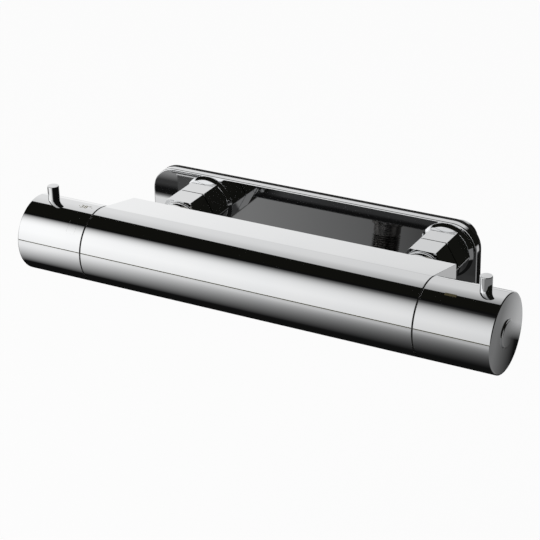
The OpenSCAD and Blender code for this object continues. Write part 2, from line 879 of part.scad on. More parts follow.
// Knob sleeve with its end wall, splined hub, lever seat and stop rib
module knob_sleeve() {
    in_r = body_r - knob_wall;
    difference() {
        union() {
            difference() {
                turned(concat(
                    [[0, seam_gap], [body_r - body_chamfer, seam_gap], [body_r, seam_gap + body_chamfer]],
                    arc(body_r - knob_edge, knob_end - knob_edge, knob_edge, 0, 90),
                    [[0, knob_end]]
                ));
                x_rod(-over, knob_end - knob_face_t, in_r);
            }
            x_rod(hub_from, knob_end - knob_face_t + over, hub_r);
            intersection() {
                x_rod(rib_from, rib_from + rib_t, in_r + knob_wall / 2);
                translate([rib_from - over, -rib_w / 2, rib_in_r])
                    cube([rib_t + 2 * over, rib_w, knob_wall + in_r - rib_in_r]);
            }
        }
        x_rod(hub_from - over, hub_bore_end, spline_r + seat_clear);
        x_rod(hub_from, knob_end, screw_r + seat_clear);
        x_rod(screw_pocket_from, knob_end, screw_pocket_r);
        x_rod(knob_end - cap_depth, knob_end + over, cap_d / 2 + cap_gap);
        translate([lever_at, 0, 0]) z_rod(lever_seat_r, body_r + over, lever_d / 2 + press_clear);
        translate([lever_at, 0, 0]) z_rod(in_r - over, body_r, lever_stud_r + press_clear);
    }
}

module lever() {
    lever_r = lever_d / 2;
    stud_low = lever_seat_r - knob_wall / 2 - lever_stud_in;
    translate([lever_at, 0, 0]) rotate_extrude() polygon([
        [0, stud_low], [lever_stud_r, stud_low], [lever_stud_r, lever_seat_r],
        [lever_r, lever_seat_r], [lever_r, lever_top_r - lever_chamfer],
        [lever_r - lever_chamfer, lever_top_r], [0, lever_top_r]
    ]);
}

module knob_screw() {
    head_end = screw_pocket_from + screw_head_t;
    difference() {
        union() {
            x_rod(spline_end - screw_in_spindle + stem_tip, screw_pocket_from + over, screw_r);
            x_rod(screw_pocket_from, head_end, screw_head_r);
        }
        translate([head_end - screw_socket_depth, 0, 0]) rotate([0, 90, 0])
            cylinder(h = screw_socket_depth + over, r = screw_socket_r, $fn = 6);
    }
}

module knob_cap() {
    top = knob_end + cap_rise;
    turned(concat(
        [[0, knob_end - cap_depth], [cap_d / 2, knob_end - cap_depth]],
        arc(cap_d / 2 - cap_edge, top - cap_edge, cap_edge, 0, 90),
        [[0, top]]
    ));
}

module glide_ring() {
    lip_t = seam_gap - face_clear;
    difference() {
        union() {
            x_rod(0, glide_l, glide_r);
            x_rod(0, lip_t, glide_lip_r);
        }
        x_rod(-over, glide_l + over, spigot_r + press_clear);
    }
}

module knob_glide_rings() {
    color("dimgray") {
        at_left() glide_ring();
        at_right() glide_ring();
    }
}

// Thermostat cartridge in the left end

module thermostat_housing() {
    color("darkkhaki") at_left() difference() {
        cartridge_blank(temp_in);
        groove(-hot_groove_to, -hot_groove_from, annulus_r);
        groove(-cold_groove_to, -cold_groove_from, annulus_r);
        for (at = temp_seal_at) groove(-at - groove_w / 2, -at + groove_w / 2, groove_r);
        x_rod(-hot_lip_from, -guide_from, bore_r);
        x_rod(-cold_lip_from, -hot_lip_to, bore_r);
        x_rod(-mix_floor, -cold_lip_to, bore_r);
        x_rod(-mix_floor, -hot_lip_from + over, lip_r);
        x_rod(-temp_in - over, -mix_floor + over, mix_hole_r);
        x_rod(-guide_from - over, neck_end + over, neck_bore_r);
        radial_holes(ports, -hot_port_at, port_r, chamber_r);
        radial_holes(ports, -cold_port_at, port_r, chamber_r);
    }
}

module thermostat_seals() {
    color("dimgray") at_left() for (at = temp_seal_at) housing_seal(at, groove_r);
}

module thermostat_lock_nut() {
    color("goldenrod") at_left() lock_nut();
}

module temperature_stop_ring() {
    color("white") at_left() stop_ring(temp_to_cold, temp_to_hot);
}

module temperature_spindle() {
    color("goldenrod") at_left() difference() {
        union() {
            x_rod(-collar_to, -collar_from, collar_r);
            x_rod(-collar_from - over, spline_from, shaft_r);
            x_rod(-thread_to, -collar_to + over, thread_r);
            spline_rod();
        }
        shaft_cuts();
    }
}

module temperature_spindle_seal() {
    color("dimgray") at_left() spindle_seal();
}

module spindle_nut() {
    color("darkkhaki") at_left() difference() {
        x_rod(-nut_to, -nut_from, nut_out_r);
        x_rod(-nut_to - over, -nut_cup_from, nut_cup_r);
        x_rod(-nut_to, -nut_from + over, thread_r + running_clear);
    }
}

module overtravel_spring() {
    from = nut_to - cup_t - seat_clear;
    length = from - nut_cup_from - seat_clear;
    color("darkgray") at_left() translate([-from, 0, 0]) rotate([0, 90, 0])
        coil(over_spring_r, over_wire_r, length, over_turns);
}

module thrust_cup() {
    color("silver") at_left() difference() {
        x_rod(-nut_to, -nut_to + cup_t, cup_r);
        x_rod(-nut_to - over, -nut_to + cup_dimple_depth, cup_dimple_r);
    }
}

module wax_element() {
    color("goldenrod") at_left() turned([
        [0, -bulb_to], [bulb_r - lever_chamfer, -bulb_to], [bulb_r, -bulb_to + lever_chamfer],
        [bulb_r, -element_flange_to], [element_flange_r, -element_flange_to],
        [element_flange_r, -guide_to], [guide_r, -guide_to], [guide_r, -piston_to],
        [piston_r, -piston_to], [piston_r, -nut_to + cup_dimple_depth], [0, -nut_to + cup_dimple_depth]
    ]);
}

module shuttle() {
    color("silver") at_left() difference() {
        x_rod(-shuttle_to, -shuttle_from, shuttle_r);
        x_rod(-shuttle_to - over, -element_flange_to - web_t, shuttle_in_r);
        x_rod(-element_flange_to, -shuttle_from + over, shuttle_in_r);
        x_rod(-shuttle_to, -shuttle_from, bulb_r + seat_clear);
        for (i = [0:web_holes - 1]) rotate([360 * i / web_holes, 0, 0])
            translate([0, web_hole_ring_r, 0])
                x_rod(-element_flange_to - web_t - over, -element_flange_to + over, web_hole_r);
    }
}

module shuttle_return_spring() {
    from = mix_floor - seat_clear;
    length = from - element_flange_to - web_t - seat_clear;
    color("darkgray") at_left() translate([-from, 0, 0]) rotate([0, 90, 0])
        coil(return_spring_r, return_wire_r, length, return_turns);
}

module temperature_knob() {
    color("silver") at_left() knob_sleeve();
}

module temperature_lever() {
    color("silver") at_left() lever();
}

module temperature_knob_screw() {
    color("gray") at_left() knob_screw();
}

module temperature_knob_cap() {
    color("silver") at_left() knob_cap();
}

// Flow cartridge in the right end

module flow_cartridge_housing() {
    color("darkkhaki") at_right() difference() {
        cartridge_blank(flow_in);
        groove(-flow_groove_to, -flow_groove_from, flow_annulus_r);
        for (i = [0, 1]) translate([-flow_seal_at[i], 0, 0])
            groove(-groove_w / 2, groove_w / 2, flow_groove_r[i]);
        x_rod(-flow_in - over, -flow_chamber_from, flow_chamber_r);
        x_rod(-flow_in, neck_end + over, neck_bore_r);
        radial_holes(windows, -window_at, window_r, chamber_r);
    }
}

module flow_cartridge_seals() {
    color("dimgray") at_right() for (i = [0, 1]) housing_seal(flow_seal_at[i], flow_groove_r[i]);
}

module flow_lock_nut() {
    color("goldenrod") at_right() lock_nut();
}

module flow_stop_ring() {
    color("white") at_right() stop_ring(0, flow_turn);
}

module flow_spindle() {
    color("goldenrod") at_right() difference() {
        union() {
            x_rod(-foot_from - foot_t, -foot_from, foot_r);
            x_rod(-foot_from - over, spline_from, shaft_r);
            spline_rod();
            translate([-moving_from - key_t, -foot_r / 2, -key_w / 2])
                cube([key_t + foot_t / 2, foot_r, key_w]);
        }
        shaft_cuts();
        for (side = [-1, 1]) translate([0, 0, side * kidney_ring_r])
            x_rod(-moving_from - over, -foot_from + over, kidney_r);
    }
}

module flow_spindle_seal() {
    color("dimgray") at_right() spindle_seal();
}

module moving_ceramic_disc() {
    color("white") at_right() difference() {
        x_rod(-moving_from - moving_disc_t, -moving_from, moving_disc_r);
        for (side = [-1, 1]) translate([0, 0, side * kidney_ring_r])
            x_rod(-moving_from - moving_disc_t - over, -moving_from + over, kidney_r);
        translate([-moving_from - key_t - seat_clear, -foot_r / 2 - seat_clear, -key_w / 2 - seat_clear])
            cube([key_t + over, foot_r + 2 * seat_clear, key_w + 2 * seat_clear]);
    }
}

module fixed_ceramic_disc() {
    color("whitesmoke") at_right() difference() {
        x_rod(-fixed_from - fixed_disc_t, -fixed_from, disc_r);
        for (side = [-1, 1]) translate([0, side * kidney_ring_r, 0])
            x_rod(-fixed_from - fixed_disc_t - over, -fixed_from + over, kidney_r);
    }
}

module flow_base_seal() {
    color("dimgray") at_right() difference() {
        x_rod(-flow_depth, -flow_depth + base_seal_t, disc_r);
        x_rod(-flow_depth - over, -flow_depth + base_seal_t + over, base_seal_hole_r);
    }
}

module flow_knob() {
    color("silver") at_right() knob_sleeve();
}

module flow_lever() {
    color("silver") at_right() lever();
}

module flow_knob_screw() {
    color("gray") at_right() knob_screw();
}

module flow_knob_cap() {
    color("silver") at_right() knob_cap();
}

valve_body();
wall_plate();
wall_gasket();
plate_rings();
hot_wall_union();
cold_wall_union();
hot_union_nut();
cold_union_nut();
hot_inlet_tail();
cold_inlet_tail();
inlet_tail_seals();
inlet_washers();
inlet_filters();
hot_check_housing();
cold_check_housing();
hot_check_poppet();
cold_check_poppet();
hot_check_spring();
cold_check_spring();
outlet_nipple();
outlet_seal();
thermostat_housing();
thermostat_seals();
thermostat_lock_nut();
temperature_stop_ring();
temperature_spindle();
temperature_spindle_seal();
spindle_nut();
overtravel_spring();
thrust_cup();
wax_element();
shuttle();
shuttle_return_spring();
temperature_knob();
temperature_lever();
temperature_knob_screw();
temperature_knob_cap();
knob_glide_rings();
flow_cartridge_housing();
flow_cartridge_seals();
flow_lock_nut();
flow_stop_ring();
flow_spindle();
flow_spindle_seal();
moving_ceramic_disc();
fixed_ceramic_disc();
flow_base_seal();
flow_knob();
flow_lever();
flow_knob_screw();
flow_knob_cap();
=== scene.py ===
import json
import math

import bmesh
import bpy
from mathutils import Matrix, Vector

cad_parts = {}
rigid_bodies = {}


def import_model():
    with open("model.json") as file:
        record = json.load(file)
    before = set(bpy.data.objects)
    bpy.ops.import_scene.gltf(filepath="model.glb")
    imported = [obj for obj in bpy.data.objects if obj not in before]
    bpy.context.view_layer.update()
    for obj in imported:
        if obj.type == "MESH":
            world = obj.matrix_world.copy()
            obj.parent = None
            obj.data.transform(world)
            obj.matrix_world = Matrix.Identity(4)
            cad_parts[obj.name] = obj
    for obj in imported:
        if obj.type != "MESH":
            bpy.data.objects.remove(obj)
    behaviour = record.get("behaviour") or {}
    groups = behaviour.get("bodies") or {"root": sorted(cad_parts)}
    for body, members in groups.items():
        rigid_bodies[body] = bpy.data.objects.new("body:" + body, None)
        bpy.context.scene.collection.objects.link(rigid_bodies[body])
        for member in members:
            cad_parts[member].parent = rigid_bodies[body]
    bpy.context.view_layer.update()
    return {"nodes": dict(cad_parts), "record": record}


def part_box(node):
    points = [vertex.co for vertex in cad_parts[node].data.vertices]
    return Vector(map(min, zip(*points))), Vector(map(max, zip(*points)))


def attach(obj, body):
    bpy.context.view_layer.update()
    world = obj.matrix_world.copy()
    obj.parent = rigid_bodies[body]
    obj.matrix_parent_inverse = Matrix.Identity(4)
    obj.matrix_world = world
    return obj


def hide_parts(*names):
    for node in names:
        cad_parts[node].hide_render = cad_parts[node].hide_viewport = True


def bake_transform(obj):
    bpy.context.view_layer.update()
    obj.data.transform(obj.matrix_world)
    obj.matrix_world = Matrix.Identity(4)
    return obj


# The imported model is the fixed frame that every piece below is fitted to. Lengths in this file
# are in millimetres, as on the drawing, and MM turns them into metres.
for leftover in list(bpy.data.objects):
    bpy.data.objects.remove(leftover)
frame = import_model()
MM = 0.001
AXIS_Y = -82.0


# Camera. The photograph is taken from the upper right with a long lens, and the axis of the
# valve's body runs down to the right in it.
camera_yaw, camera_pitch, camera_roll = (math.radians(a) for a in (29.61, 25.92, -1.61))
camera_target = Vector((7.55, AXIS_Y, 6.58)) * MM
camera_distance = 921.0 * MM
ahead = Vector((
    -math.sin(camera_yaw) * math.cos(camera_pitch),
    math.cos(camera_yaw) * math.cos(camera_pitch),
    -math.sin(camera_pitch),
))
level = Vector((math.cos(camera_yaw), math.sin(camera_yaw), 0))
upright = level.cross(ahead)
rightward = level * math.cos(camera_roll) + upright * math.sin(camera_roll)
upward = upright * math.cos(camera_roll) - level * math.sin(camera_roll)
camera = bpy.data.objects.new("camera", bpy.data.cameras.new("camera"))
camera.data.lens = 117.2
camera.data.sensor_width = 36
camera.matrix_world = (
    Matrix.Translation(camera_target - ahead * camera_distance)
    @ Matrix((rightward, upward, -ahead)).transposed().to_4x4()
)
bpy.context.collection.objects.link(camera)
bpy.context.scene.camera = camera
bpy.context.scene.view_settings.view_transform = "Standard"


# Studio. Polished chrome shows only its surroundings, so they are laid out as for a product
# shot: white panels behind and in front, a black strip overhead, and below a glowing table with painted
# light and the valve's painted shadow.
class Value:
    """A number or colour in a node tree. Sums written with it add their Math nodes."""

    def __init__(self, tree, socket):
        self.tree, self.socket = tree, socket

    def out(self, name):
        return Value(self.tree, self.socket.node.outputs[name])

    def sum(self, operation, *parts):
        return self.tree.add("ShaderNodeMath", {"operation": operation}, dict(enumerate(parts)))

    def __add__(self, other):
        return self.sum("ADD", self, other)

    __radd__ = __add__

    def __sub__(self, other):
        return self.sum("SUBTRACT", self, other)

    def __rsub__(self, other):
        return self.sum("SUBTRACT", other, self)

    def __mul__(self, other):
        return self.sum("MULTIPLY", self, other)

    __rmul__ = __mul__

    def __truediv__(self, other):
        return self.sum("DIVIDE", self, other)

    def __pow__(self, other):
        return self.sum("POWER", self, other)

    def __rpow__(self, other):
        return self.sum("POWER", other, self)

    def clamped(self):
        return self.sum("MINIMUM", self.sum("MAXIMUM", self, 0.0), 1.0)

    def step(self, low, high):
        """0 below low, 1 above high, and even between them."""
        return ((self - low) / (high - low)).clamped()


class Tree:
    """Adds nodes to one node tree."""

    def __init__(self, tree):
        self.tree = tree
        tree.nodes.clear()

    def add(self, kind, settings=None, values=None, out=0):
        node = self.tree.nodes.new(kind)
        for name, setting in (settings or {}).items():
            if name == "stops":
                stops = node.color_ramp.elements
                while len(stops) > 1:
                    stops.remove(stops[-1])
                for i, (place, shade) in enumerate(setting):
                    stop = stops[0] if i == 0 else stops.new(place)
                    stop.position = place
                    stop.color = (*shade, 1) if isinstance(shade, tuple) else (shade, shade, shade, 1)
            else:
                setattr(node, name, setting)
        for key, value in (values or {}).items():
            if isinstance(value, Value):
                self.tree.links.new(value.socket, node.inputs[key])
            else:
                node.inputs[key].default_value = value
        return Value(self, node.outputs[out]) if len(node.outputs) else None

    def ramp(self, value, stops):
        """A curve through stops of (value, shade)."""
        low, high = stops[0][0], stops[-1][0]
        return self.add(
            "ShaderNodeValToRGB",
            {"stops": [((place - low) / (high - low), shade) for place, shade in stops]},
            {"Fac": (value - low) / (high - low)},
        )

    def blend(self, factor, first, second):
        return self.add("ShaderNodeMix", {"data_type": "RGBA"}, {0: factor, 6: first, 7: second}, out=2)


# The chrome takes away about this share of what it shows, so the panels are lit to make up for it
chrome_share = 0.92
world = bpy.data.worlds.new("studio")
bpy.context.scene.world = world
world.use_nodes = True
world.cycles.sampling_method = "NONE"
studio = Tree(world.node_tree)
direction = studio.add("ShaderNodeSeparateXYZ", {}, {0: studio.add("ShaderNodeTexCoord", out="Generated")})
# Angle round the valve's own axis: 0 is towards the wall, 90 is up and 180 is towards the front
round_axis = studio.add(
    "ShaderNodeMath", {"operation": "ARCTAN2"}, {0: direction.out("Z"), 1: direction.out("Y")}
) * (180 / math.pi)
round_axis = studio.add(
    "ShaderNodeMath", {"operation": "WRAP"}, {0: round_axis, 1: 270.0, 2: -90.0}
)
# 0 for what the left end of the valve shows, and 1 for the right end
to_right = direction.out("X").step(-0.557, -0.319)
back_left = studio.ramp(round_axis, [(-90, 0.87), (5, 0.87), (7, 0.73), (34, 0.72), (64, 0.6)])
back_right = studio.ramp(round_axis, [
    (-90, 0.66), (4, 0.66), (5, 0.45), (8, 0.45), (9, 0.6), (45, 0.6), (75, 0.25),
])


def soft_panel(place, start, width, level, falloff):
    """The light of a panel with one soft edge: dark up to start, and even past the width."""
    return level * (1.0 - (1.0 - place.step(start, start + width)) ** falloff)


# The front panel is brighter at the left end, and its edge is harder there. Its foot dims a little
darkest = 0.004
foot_dims = 0.1
front_left = soft_panel(round_axis, 110.0, 35.0, 0.97, 2.5)
front_left = darkest + front_left * (1.0 - foot_dims * round_axis.step(160.0, 190.0))
front_right = soft_panel(round_axis, 116.0, 50.0, 0.68, 2.3)
front_right = darkest + front_right * (1.0 - foot_dims * round_axis.step(165.0, 190.0))
panels_back = studio.blend(to_right, back_left, back_right)
panels_front = studio.blend(to_right, front_left, front_right)
black_edge = 74.5 - 14.0 * (1.0 - to_right) ** 2.0
panels = studio.blend(
    (round_axis - black_edge + 0.4).step(0.0, 0.8),
    panels_back,
    studio.blend(round_axis.step(104.0, 106.0), (0.005, 0.005, 0.004, 1), panels_front),
)
# A black flag stands on the right, so what faces right stays dark
panels = studio.blend(direction.out("X").step(0.12, 0.3), panels, (0.006, 0.006, 0.005, 1))
seen = studio.add("ShaderNodeLightPath", out="Is Camera Ray")
to_camera = studio.add("ShaderNodeBackground", {}, {"Color": (1, 1, 1, 1), "Strength": 1.0})
to_matt = studio.add("ShaderNodeBackground", {}, {"Color": (1, 1, 1, 1), "Strength": 0.72})
to_chrome = studio.add("ShaderNodeBackground", {}, {"Color": panels, "Strength": 1 / chrome_share})
lit = studio.add("ShaderNodeMixShader", {}, {0: seen, 1: to_matt, 2: to_camera})
lit = studio.add("ShaderNodeMixShader", {}, {0: seen.out("Is Glossy Ray"), 1: lit, 2: to_chrome})
studio.add("ShaderNodeOutputWorld", {}, {"Surface": lit})


def sheet_of(name, x0, x1, y0, y1, z):
    """A flat rectangle for the studio, in millimetres."""
    mesh = bpy.data.meshes.new(name)
    corners = [(x0, y0, z), (x1, y0, z), (x1, y1, z), (x0, y1, z)]
    mesh.from_pydata([Vector(corner) * MM for corner in corners], [], [(0, 1, 2, 3)])
    thing = bpy.data.objects.new(name, mesh)
    bpy.context.collection.objects.link(thing)
    return thing


# A glowing table below the valve, which only the chrome sees. Its light is painted: bright towards the
# front, a painted shadow of the valve that fades to black under it, and painted light again behind it.
# Its front edge has a thin dark line.
table_z = -65.0
table_front, table_line, table_back = -357.0, -292.0, 400.0
table = sheet_of("table_with_painted_light_and_shadow", -1500, 1500, table_front + AXIS_Y, table_back + AXIS_Y, table_z)
table.visible_camera = False
table.visible_diffuse = False
table.visible_shadow = False
table.visible_transmission = False
gloss = bpy.data.materials.new("table with painted light and shadow")
gloss.use_nodes = True
painted_table_tree = Tree(gloss.node_tree)
place = painted_table_tree.add(
    "ShaderNodeSeparateXYZ", {}, {0: painted_table_tree.add("ShaderNodeTexCoord", out="Object")}
)
along = place.out("X") / MM
out_y = place.out("Y") / MM - AXIS_Y
aslant = (along + 0.5 * (out_y * out_y + table_z * table_z) ** 0.5 + 138.0).step(0.0, 276.0)
in_front = out_y * -1.0
# Painted light from the front that fades to the valve's painted shadow under it, on the left and the right
table_left = 0.005 + soft_panel(in_front, 22.0, 180.0, 0.8, 2.8)
table_right = 0.005 + 0.4 * in_front.step(15.0, 200.0) ** 1.4
# Past the right end of the valve the painted light on the table is evenly dim, with one patch of painted
# light behind the shelf
far_right = (along - (out_y - 80.0) * 0.3).step(168.0, 180.0)
behind = out_y.step(75.0, 150.0) * 0.65 * 0.3 ** aslant * (1.0 - along.step(80.0, 105.0))
table_painted_light = table_left ** (1.0 - aslant) * table_right ** aslant * (1.0 - far_right)
patch = along.step(145.0, 155.0) * out_y.step(110.0, 130.0) * (1.0 - far_right)
table_painted_light = table_painted_light + behind * out_y.step(0.0, 20.0) + far_right * 0.15 + patch * 0.40
# The table's glow is painted light and shadow, with the thin dark line at its front edge
table_colour = painted_table_tree.blend(
    out_y.step(table_line - 1.0, table_line), (0.05, 0.047, 0.02, 1), table_painted_light
)
painted_table_tree.add("ShaderNodeOutputMaterial", {}, {
    "Surface": painted_table_tree.add(
        "ShaderNodeEmission", {}, {"Color": table_colour, "Strength": 1 / chrome_share}
    )
})
table.data.materials.append(gloss)

# Two one-sided glowing cards that only the chrome sees, painted with the reflections that it shows.
# They are clear from behind. The first faces the wall from under the body, and is the painted reflection in
# the wall plate:
# soft bands at the left end, a dark stretch, and an even grey that fades to the right. The second stands
# beside the left lever.
def one_sided(name, corners, paint_card):
    mesh = bpy.data.meshes.new(name)
    mesh.from_pydata([Vector(corner) * MM for corner in corners], [], [tuple(range(len(corners)))])
    card = bpy.data.objects.new(name, mesh)
    bpy.context.collection.objects.link(card)
    for ray in ("camera", "diffuse", "shadow", "transmission"):
        setattr(card, f"visible_{ray}", False)
    finish = bpy.data.materials.new(name)
    finish.use_nodes = True
    tree = Tree(finish.node_tree)
    place = tree.add("ShaderNodeSeparateXYZ", {}, {0: tree.add("ShaderNodeTexCoord", out="Object")})
    glow = tree.add(
        "ShaderNodeEmission", {}, {"Color": paint_card(tree, place), "Strength": 1 / chrome_share}
    )
    tree.add("ShaderNodeOutputMaterial", {}, {"Surface": tree.add("ShaderNodeMixShader", {}, {
        0: tree.add("ShaderNodeNewGeometry", out="Backfacing"), 1: glow,
        2: tree.add("ShaderNodeBsdfTransparent"),
    })})
    mesh.materials.append(finish)


def painted_wall_reflection(tree, place):
    """Painted reflection: soft bands at the left end, then a dark stretch, and greys to the right of a
    slanted edge.
    """
    along, up = place.out("X") / MM, place.out("Z") / MM
    bands = tree.ramp(up, [
        (-40, 0.65), (-38, 0.15), (-36.5, 0.006), (-32.5, 0.006), (-29.5, 0.035), (-27, 0.035), (-22, 0.2),
    ])
    greys = tree.ramp(along, [(-90, 0.16), (0, 0.09), (40, 0.035), (70, 0.02)])
    slant, grey_end, bands_end = 1.105, -128.5, -141.0
    aslant_edge = (along + 82.3 - (up + 25.9) * slant).step(-0.5, 0.5)
    dark = tree.blend(
        along.step(grey_end - 0.5, grey_end + 0.5), (0.055, 0.055, 0.055, 1), (0.005, 0.005, 0.004, 1)
    )
    left = tree.blend(along.step(bands_end - 0.4, bands_end + 0.4), bands, dark)
    foot = tree.ramp(along, [(-125, 0.005), (-110, 0.04), (-70, 0.03)])
    greys = tree.blend(up.step(-51.0, -49.0), foot, greys)
    return tree.blend(aslant_edge, left, greys)


def painted_lever_reflection(tree, place):
    """Painted reflection beside the lever: grey towards the front and dark towards the wall."""
    return tree.ramp(place.out("Y") / MM - AXIS_Y, [(-100, 0.16), (-40, 0.10), (-22, 0.004), (60, 0.004)])


one_sided("wall_side_card", [
    (-400, AXIS_Y + 5, -64.5), (-400, AXIS_Y + 5, 0), (-141.5, AXIS_Y + 5, 0), (-141.5, AXIS_Y + 5, -21.9),
    (400, AXIS_Y + 5, -21.9), (400, AXIS_Y + 5, -64.5),
], painted_wall_reflection)
one_sided("lever_card", [
    (-119, AXIS_Y - 150, -60), (-119, AXIS_Y - 150, 60), (-119, AXIS_Y + 60, 60), (-119, AXIS_Y + 60, -60),
], painted_lever_reflection)

# Plain pale floor well below, white to the camera, on which the valve's soft shadow falls
floor = sheet_of("floor", -6000, 6000, -6000, 6000, -300.0)
floor.visible_glossy = False
pale = bpy.data.materials.new("pale floor")
pale.use_nodes = True
pale_tree = Tree(pale.node_tree)
floor_matt = pale_tree.add(
    "ShaderNodeBsdfPrincipled", {}, {"Base Color": (0.9, 0.9, 0.9, 1), "Roughness": 0.9}
)
floor_white = pale_tree.add("ShaderNodeEmission", {}, {"Color": (1, 1, 1, 1), "Strength": 1.0})
pale_tree.add("ShaderNodeOutputMaterial", {}, {
    "Surface": pale_tree.add("ShaderNodeMixShader", {}, {
        0: pale_tree.add("ShaderNodeLightPath", out="Is Camera Ray") * 0.9, 1: floor_matt, 2: floor_white,
    })
})
floor.data.materials.append(pale)

lamp = bpy.data.objects.new("soft_lamp", bpy.data.lights.new("soft_lamp", "AREA"))
lamp.data.size = 1.2
lamp.data.energy = 7.0
lamp.location = (-0.5, -1.1, 1.2)
lamp.rotation_euler = (Vector((0, AXIS_Y * MM, 0)) - lamp.location).to_track_quat("-Z", "Y").to_euler()
lamp.visible_glossy = False
bpy.context.collection.objects.link(lamp)


# Valve body: one brass casting, turned to a round bar that runs back into a flat shelf, with a
# boss for each inlet, a spigot at each end and a port below. It is polished and chromed.
body_r = 21.25
body_end = 98.5
body_edge = 0.15
shelf_back, shelf_top, shelf_low, shelf_edge = 34.0, 14.5, -12.0, 0.5
chrome_pale = (0.915, 0.92, 0.925, 1)
chrome_deep = (0.895, 0.905, 0.915, 1)


def chrome(name, roughness, wipe):
    """Polished chrome plating: clean, with a faint unevenness of the polish and hairline wiping."""
    finish = bpy.data.materials.new(name)
    finish.use_nodes = True
    tree = Tree(finish.node_tree)
    place = tree.add("ShaderNodeTexCoord", out="Object")
    cloud = tree.add(
        "ShaderNodeTexNoise", {}, {"Vector": place, "Scale": 38.0, "Detail": 4.0, "Roughness": 0.55}
    )
    stretched = tree.add("ShaderNodeMapping", {}, {"Vector": place, "Scale": (60.0, 1400.0, 1400.0)})
    hair = tree.add("ShaderNodeTexNoise", {}, {"Vector": stretched, "Scale": 1.0, "Detail": 2.0})
    hair = hair.step(0.60, 0.74)
    relief = tree.add(
        "ShaderNodeBump", {}, {"Strength": 0.04, "Distance": 0.00002, "Height": cloud + hair * 0.1}
    )
    surface = tree.add("ShaderNodeBsdfPrincipled", {}, {
        "Base Color": tree.blend(cloud.step(0.3, 0.7), chrome_pale, chrome_deep),
        "Metallic": 1.0,
        "Roughness": roughness + cloud.step(0.35, 0.75) * wipe + hair * wipe,
        "Normal": relief,
    })
    tree.add("ShaderNodeOutputMaterial", {}, {"Surface": surface})
    return finish


def rounded(corners, steps=5):
    """A profile through corners of (along, out, radius), with each corner rounded."""
    points = []
    for i, (along, out, radius) in enumerate(corners):
        here = Vector((along, out))
        if radius == 0:
            points.append(tuple(here))
            continue
        before = (Vector(corners[i - 1][:2]) - here).normalized()
        after = (Vector(corners[(i + 1) % len(corners)][:2]) - here).normalized()
        half = before.angle(after) / 2
        centre = here + (before + after).normalized() * (radius / math.sin(half))
        first = here + before * (radius / math.tan(half)) - centre
        last = here + after * (radius / math.tan(half)) - centre
        total = first.angle(last)
        for k in range(steps + 1):
            share = k / steps
            spoke = first * math.sin((1 - share) * total) + last * math.sin(share * total)
            points.append(tuple(centre + spoke / math.sin(total)))
    return points


def facing(origin, axis):
    """Where a turned piece stands: its start in millimetres, and the way that it points."""
    return (
        Matrix.Translation(Vector(origin) * MM)
        @ Vector(axis).to_track_quat("Z", "X").to_matrix().to_4x4()
        @ Matrix.Scale(MM, 4)
    )


def skinned(name, points, faces):
    """A mesh with its doubled points merged and its faces turned outwards."""
    mesh = bpy.data.meshes.new(name)
    mesh.from_pydata(points, [], faces)
    work = bmesh.new()
    work.from_mesh(mesh)
    bmesh.ops.remove_doubles(work, verts=work.verts, dist=1e-7)
    bmesh.ops.recalc_face_normals(work, faces=work.faces)
    work.to_mesh(mesh)
    work.free()
    return mesh


def turned(name, profile, where, sides=160):
    """A piece turned on a lathe from its profile: a solid if it starts on the axis, or a ring."""
    points, faces, rows = [], [], []
    for along, out in profile:
        start = len(points)
        if out < 1e-6:
            points.append(where @ Vector((0, 0, along)))
            rows.append([start] * sides)
            continue
        rows.append(range(start, start + sides))
        for k in range(sides):
            turn = 2 * math.pi * k / sides
            points.append(where @ Vector((out * math.cos(turn), out * math.sin(turn), along)))
    pairs = list(zip(rows, rows[1:]))
    if profile[0][1] > 1e-6:
        pairs.append((rows[-1], rows[0]))
    for low, high in pairs:
        for k in range(sides):
            n = (k + 1) % sides
            faces.append(list(dict.fromkeys([low[k], low[n], high[n], high[k]])))
    return skinned(name, points, faces)


def blank(name, mesh):
    """An object that a piece is cut or joined with."""
    thing = bpy.data.objects.new(name, mesh)
    bpy.context.collection.objects.link(thing)
    return thing


def carved(thing, *steps):
    """Joins meshes to a piece and cuts them from it, in order, and leaves a plain mesh."""
    tools = []
    for operation, mesh in steps:
        tool = blank("tool", mesh)
        tools.append(tool)
        cut = thing.modifiers.new("cut", "BOOLEAN")
        cut.operation, cut.solver, cut.object = operation, "EXACT", tool
    settle(thing)
    for tool in tools:
        bpy.data.objects.remove(tool)


def settle(thing):
    """Turns a piece's modifiers into its mesh."""
    done = bpy.data.meshes.new_from_object(thing.evaluated_get(bpy.context.evaluated_depsgraph_get()))
    thing.modifiers.clear()
    thing.data = done


def polished(thing, finish, crease=32):
    """Smooth shading that keeps flat faces flat and real edges crisp."""
    mesh = thing.data
    mesh.polygons.foreach_set("use_smooth", [True] * len(mesh.polygons))
    mesh.set_sharp_from_angle(angle=math.radians(crease))
    even = thing.modifiers.new("even", "WEIGHTED_NORMAL")
    even.keep_sharp = True
    even.weight = 100
    settle(thing)
    thing.data.materials.clear()
    thing.data.materials.append(finish)
    return thing


def fitted(thing, body, slot, *nodes):
    """Fixes a finished piece to its body, in place of the solids that it is drawn over."""
    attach(thing, body)
    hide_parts(*nodes)


def touch_point(y, z, side):
    """Where a straight line from the shelf's edge touches the round bar."""
    turn = math.atan2(z, y) + side * math.acos(body_r / math.hypot(y, z))
    return body_r * math.cos(turn), body_r * math.sin(turn), turn


def stretch(a, b, count):
    return [(a[0] + (b[0] - a[0]) * k / count, a[1] + (b[1] - a[1]) * k / count) for k in range(1, count)]


def mitred(outline, inset):
    """The same outline, moved inwards by an even distance."""
    moved = []
    for i, (y, z) in enumerate(outline):
        before, after = Vector(outline[i - 1]), Vector(outline[(i + 1) % len(outline)])
        here = Vector((y, z))
        one, two = (here - before).normalized(), (after - here).normalized()
        n1, n2 = Vector((one.y, -one.x)), Vector((two.y, -two.x))
        moved.append(tuple(here - (n1 + n2) * (inset / (1 + n1.dot(n2)))))
    return moved


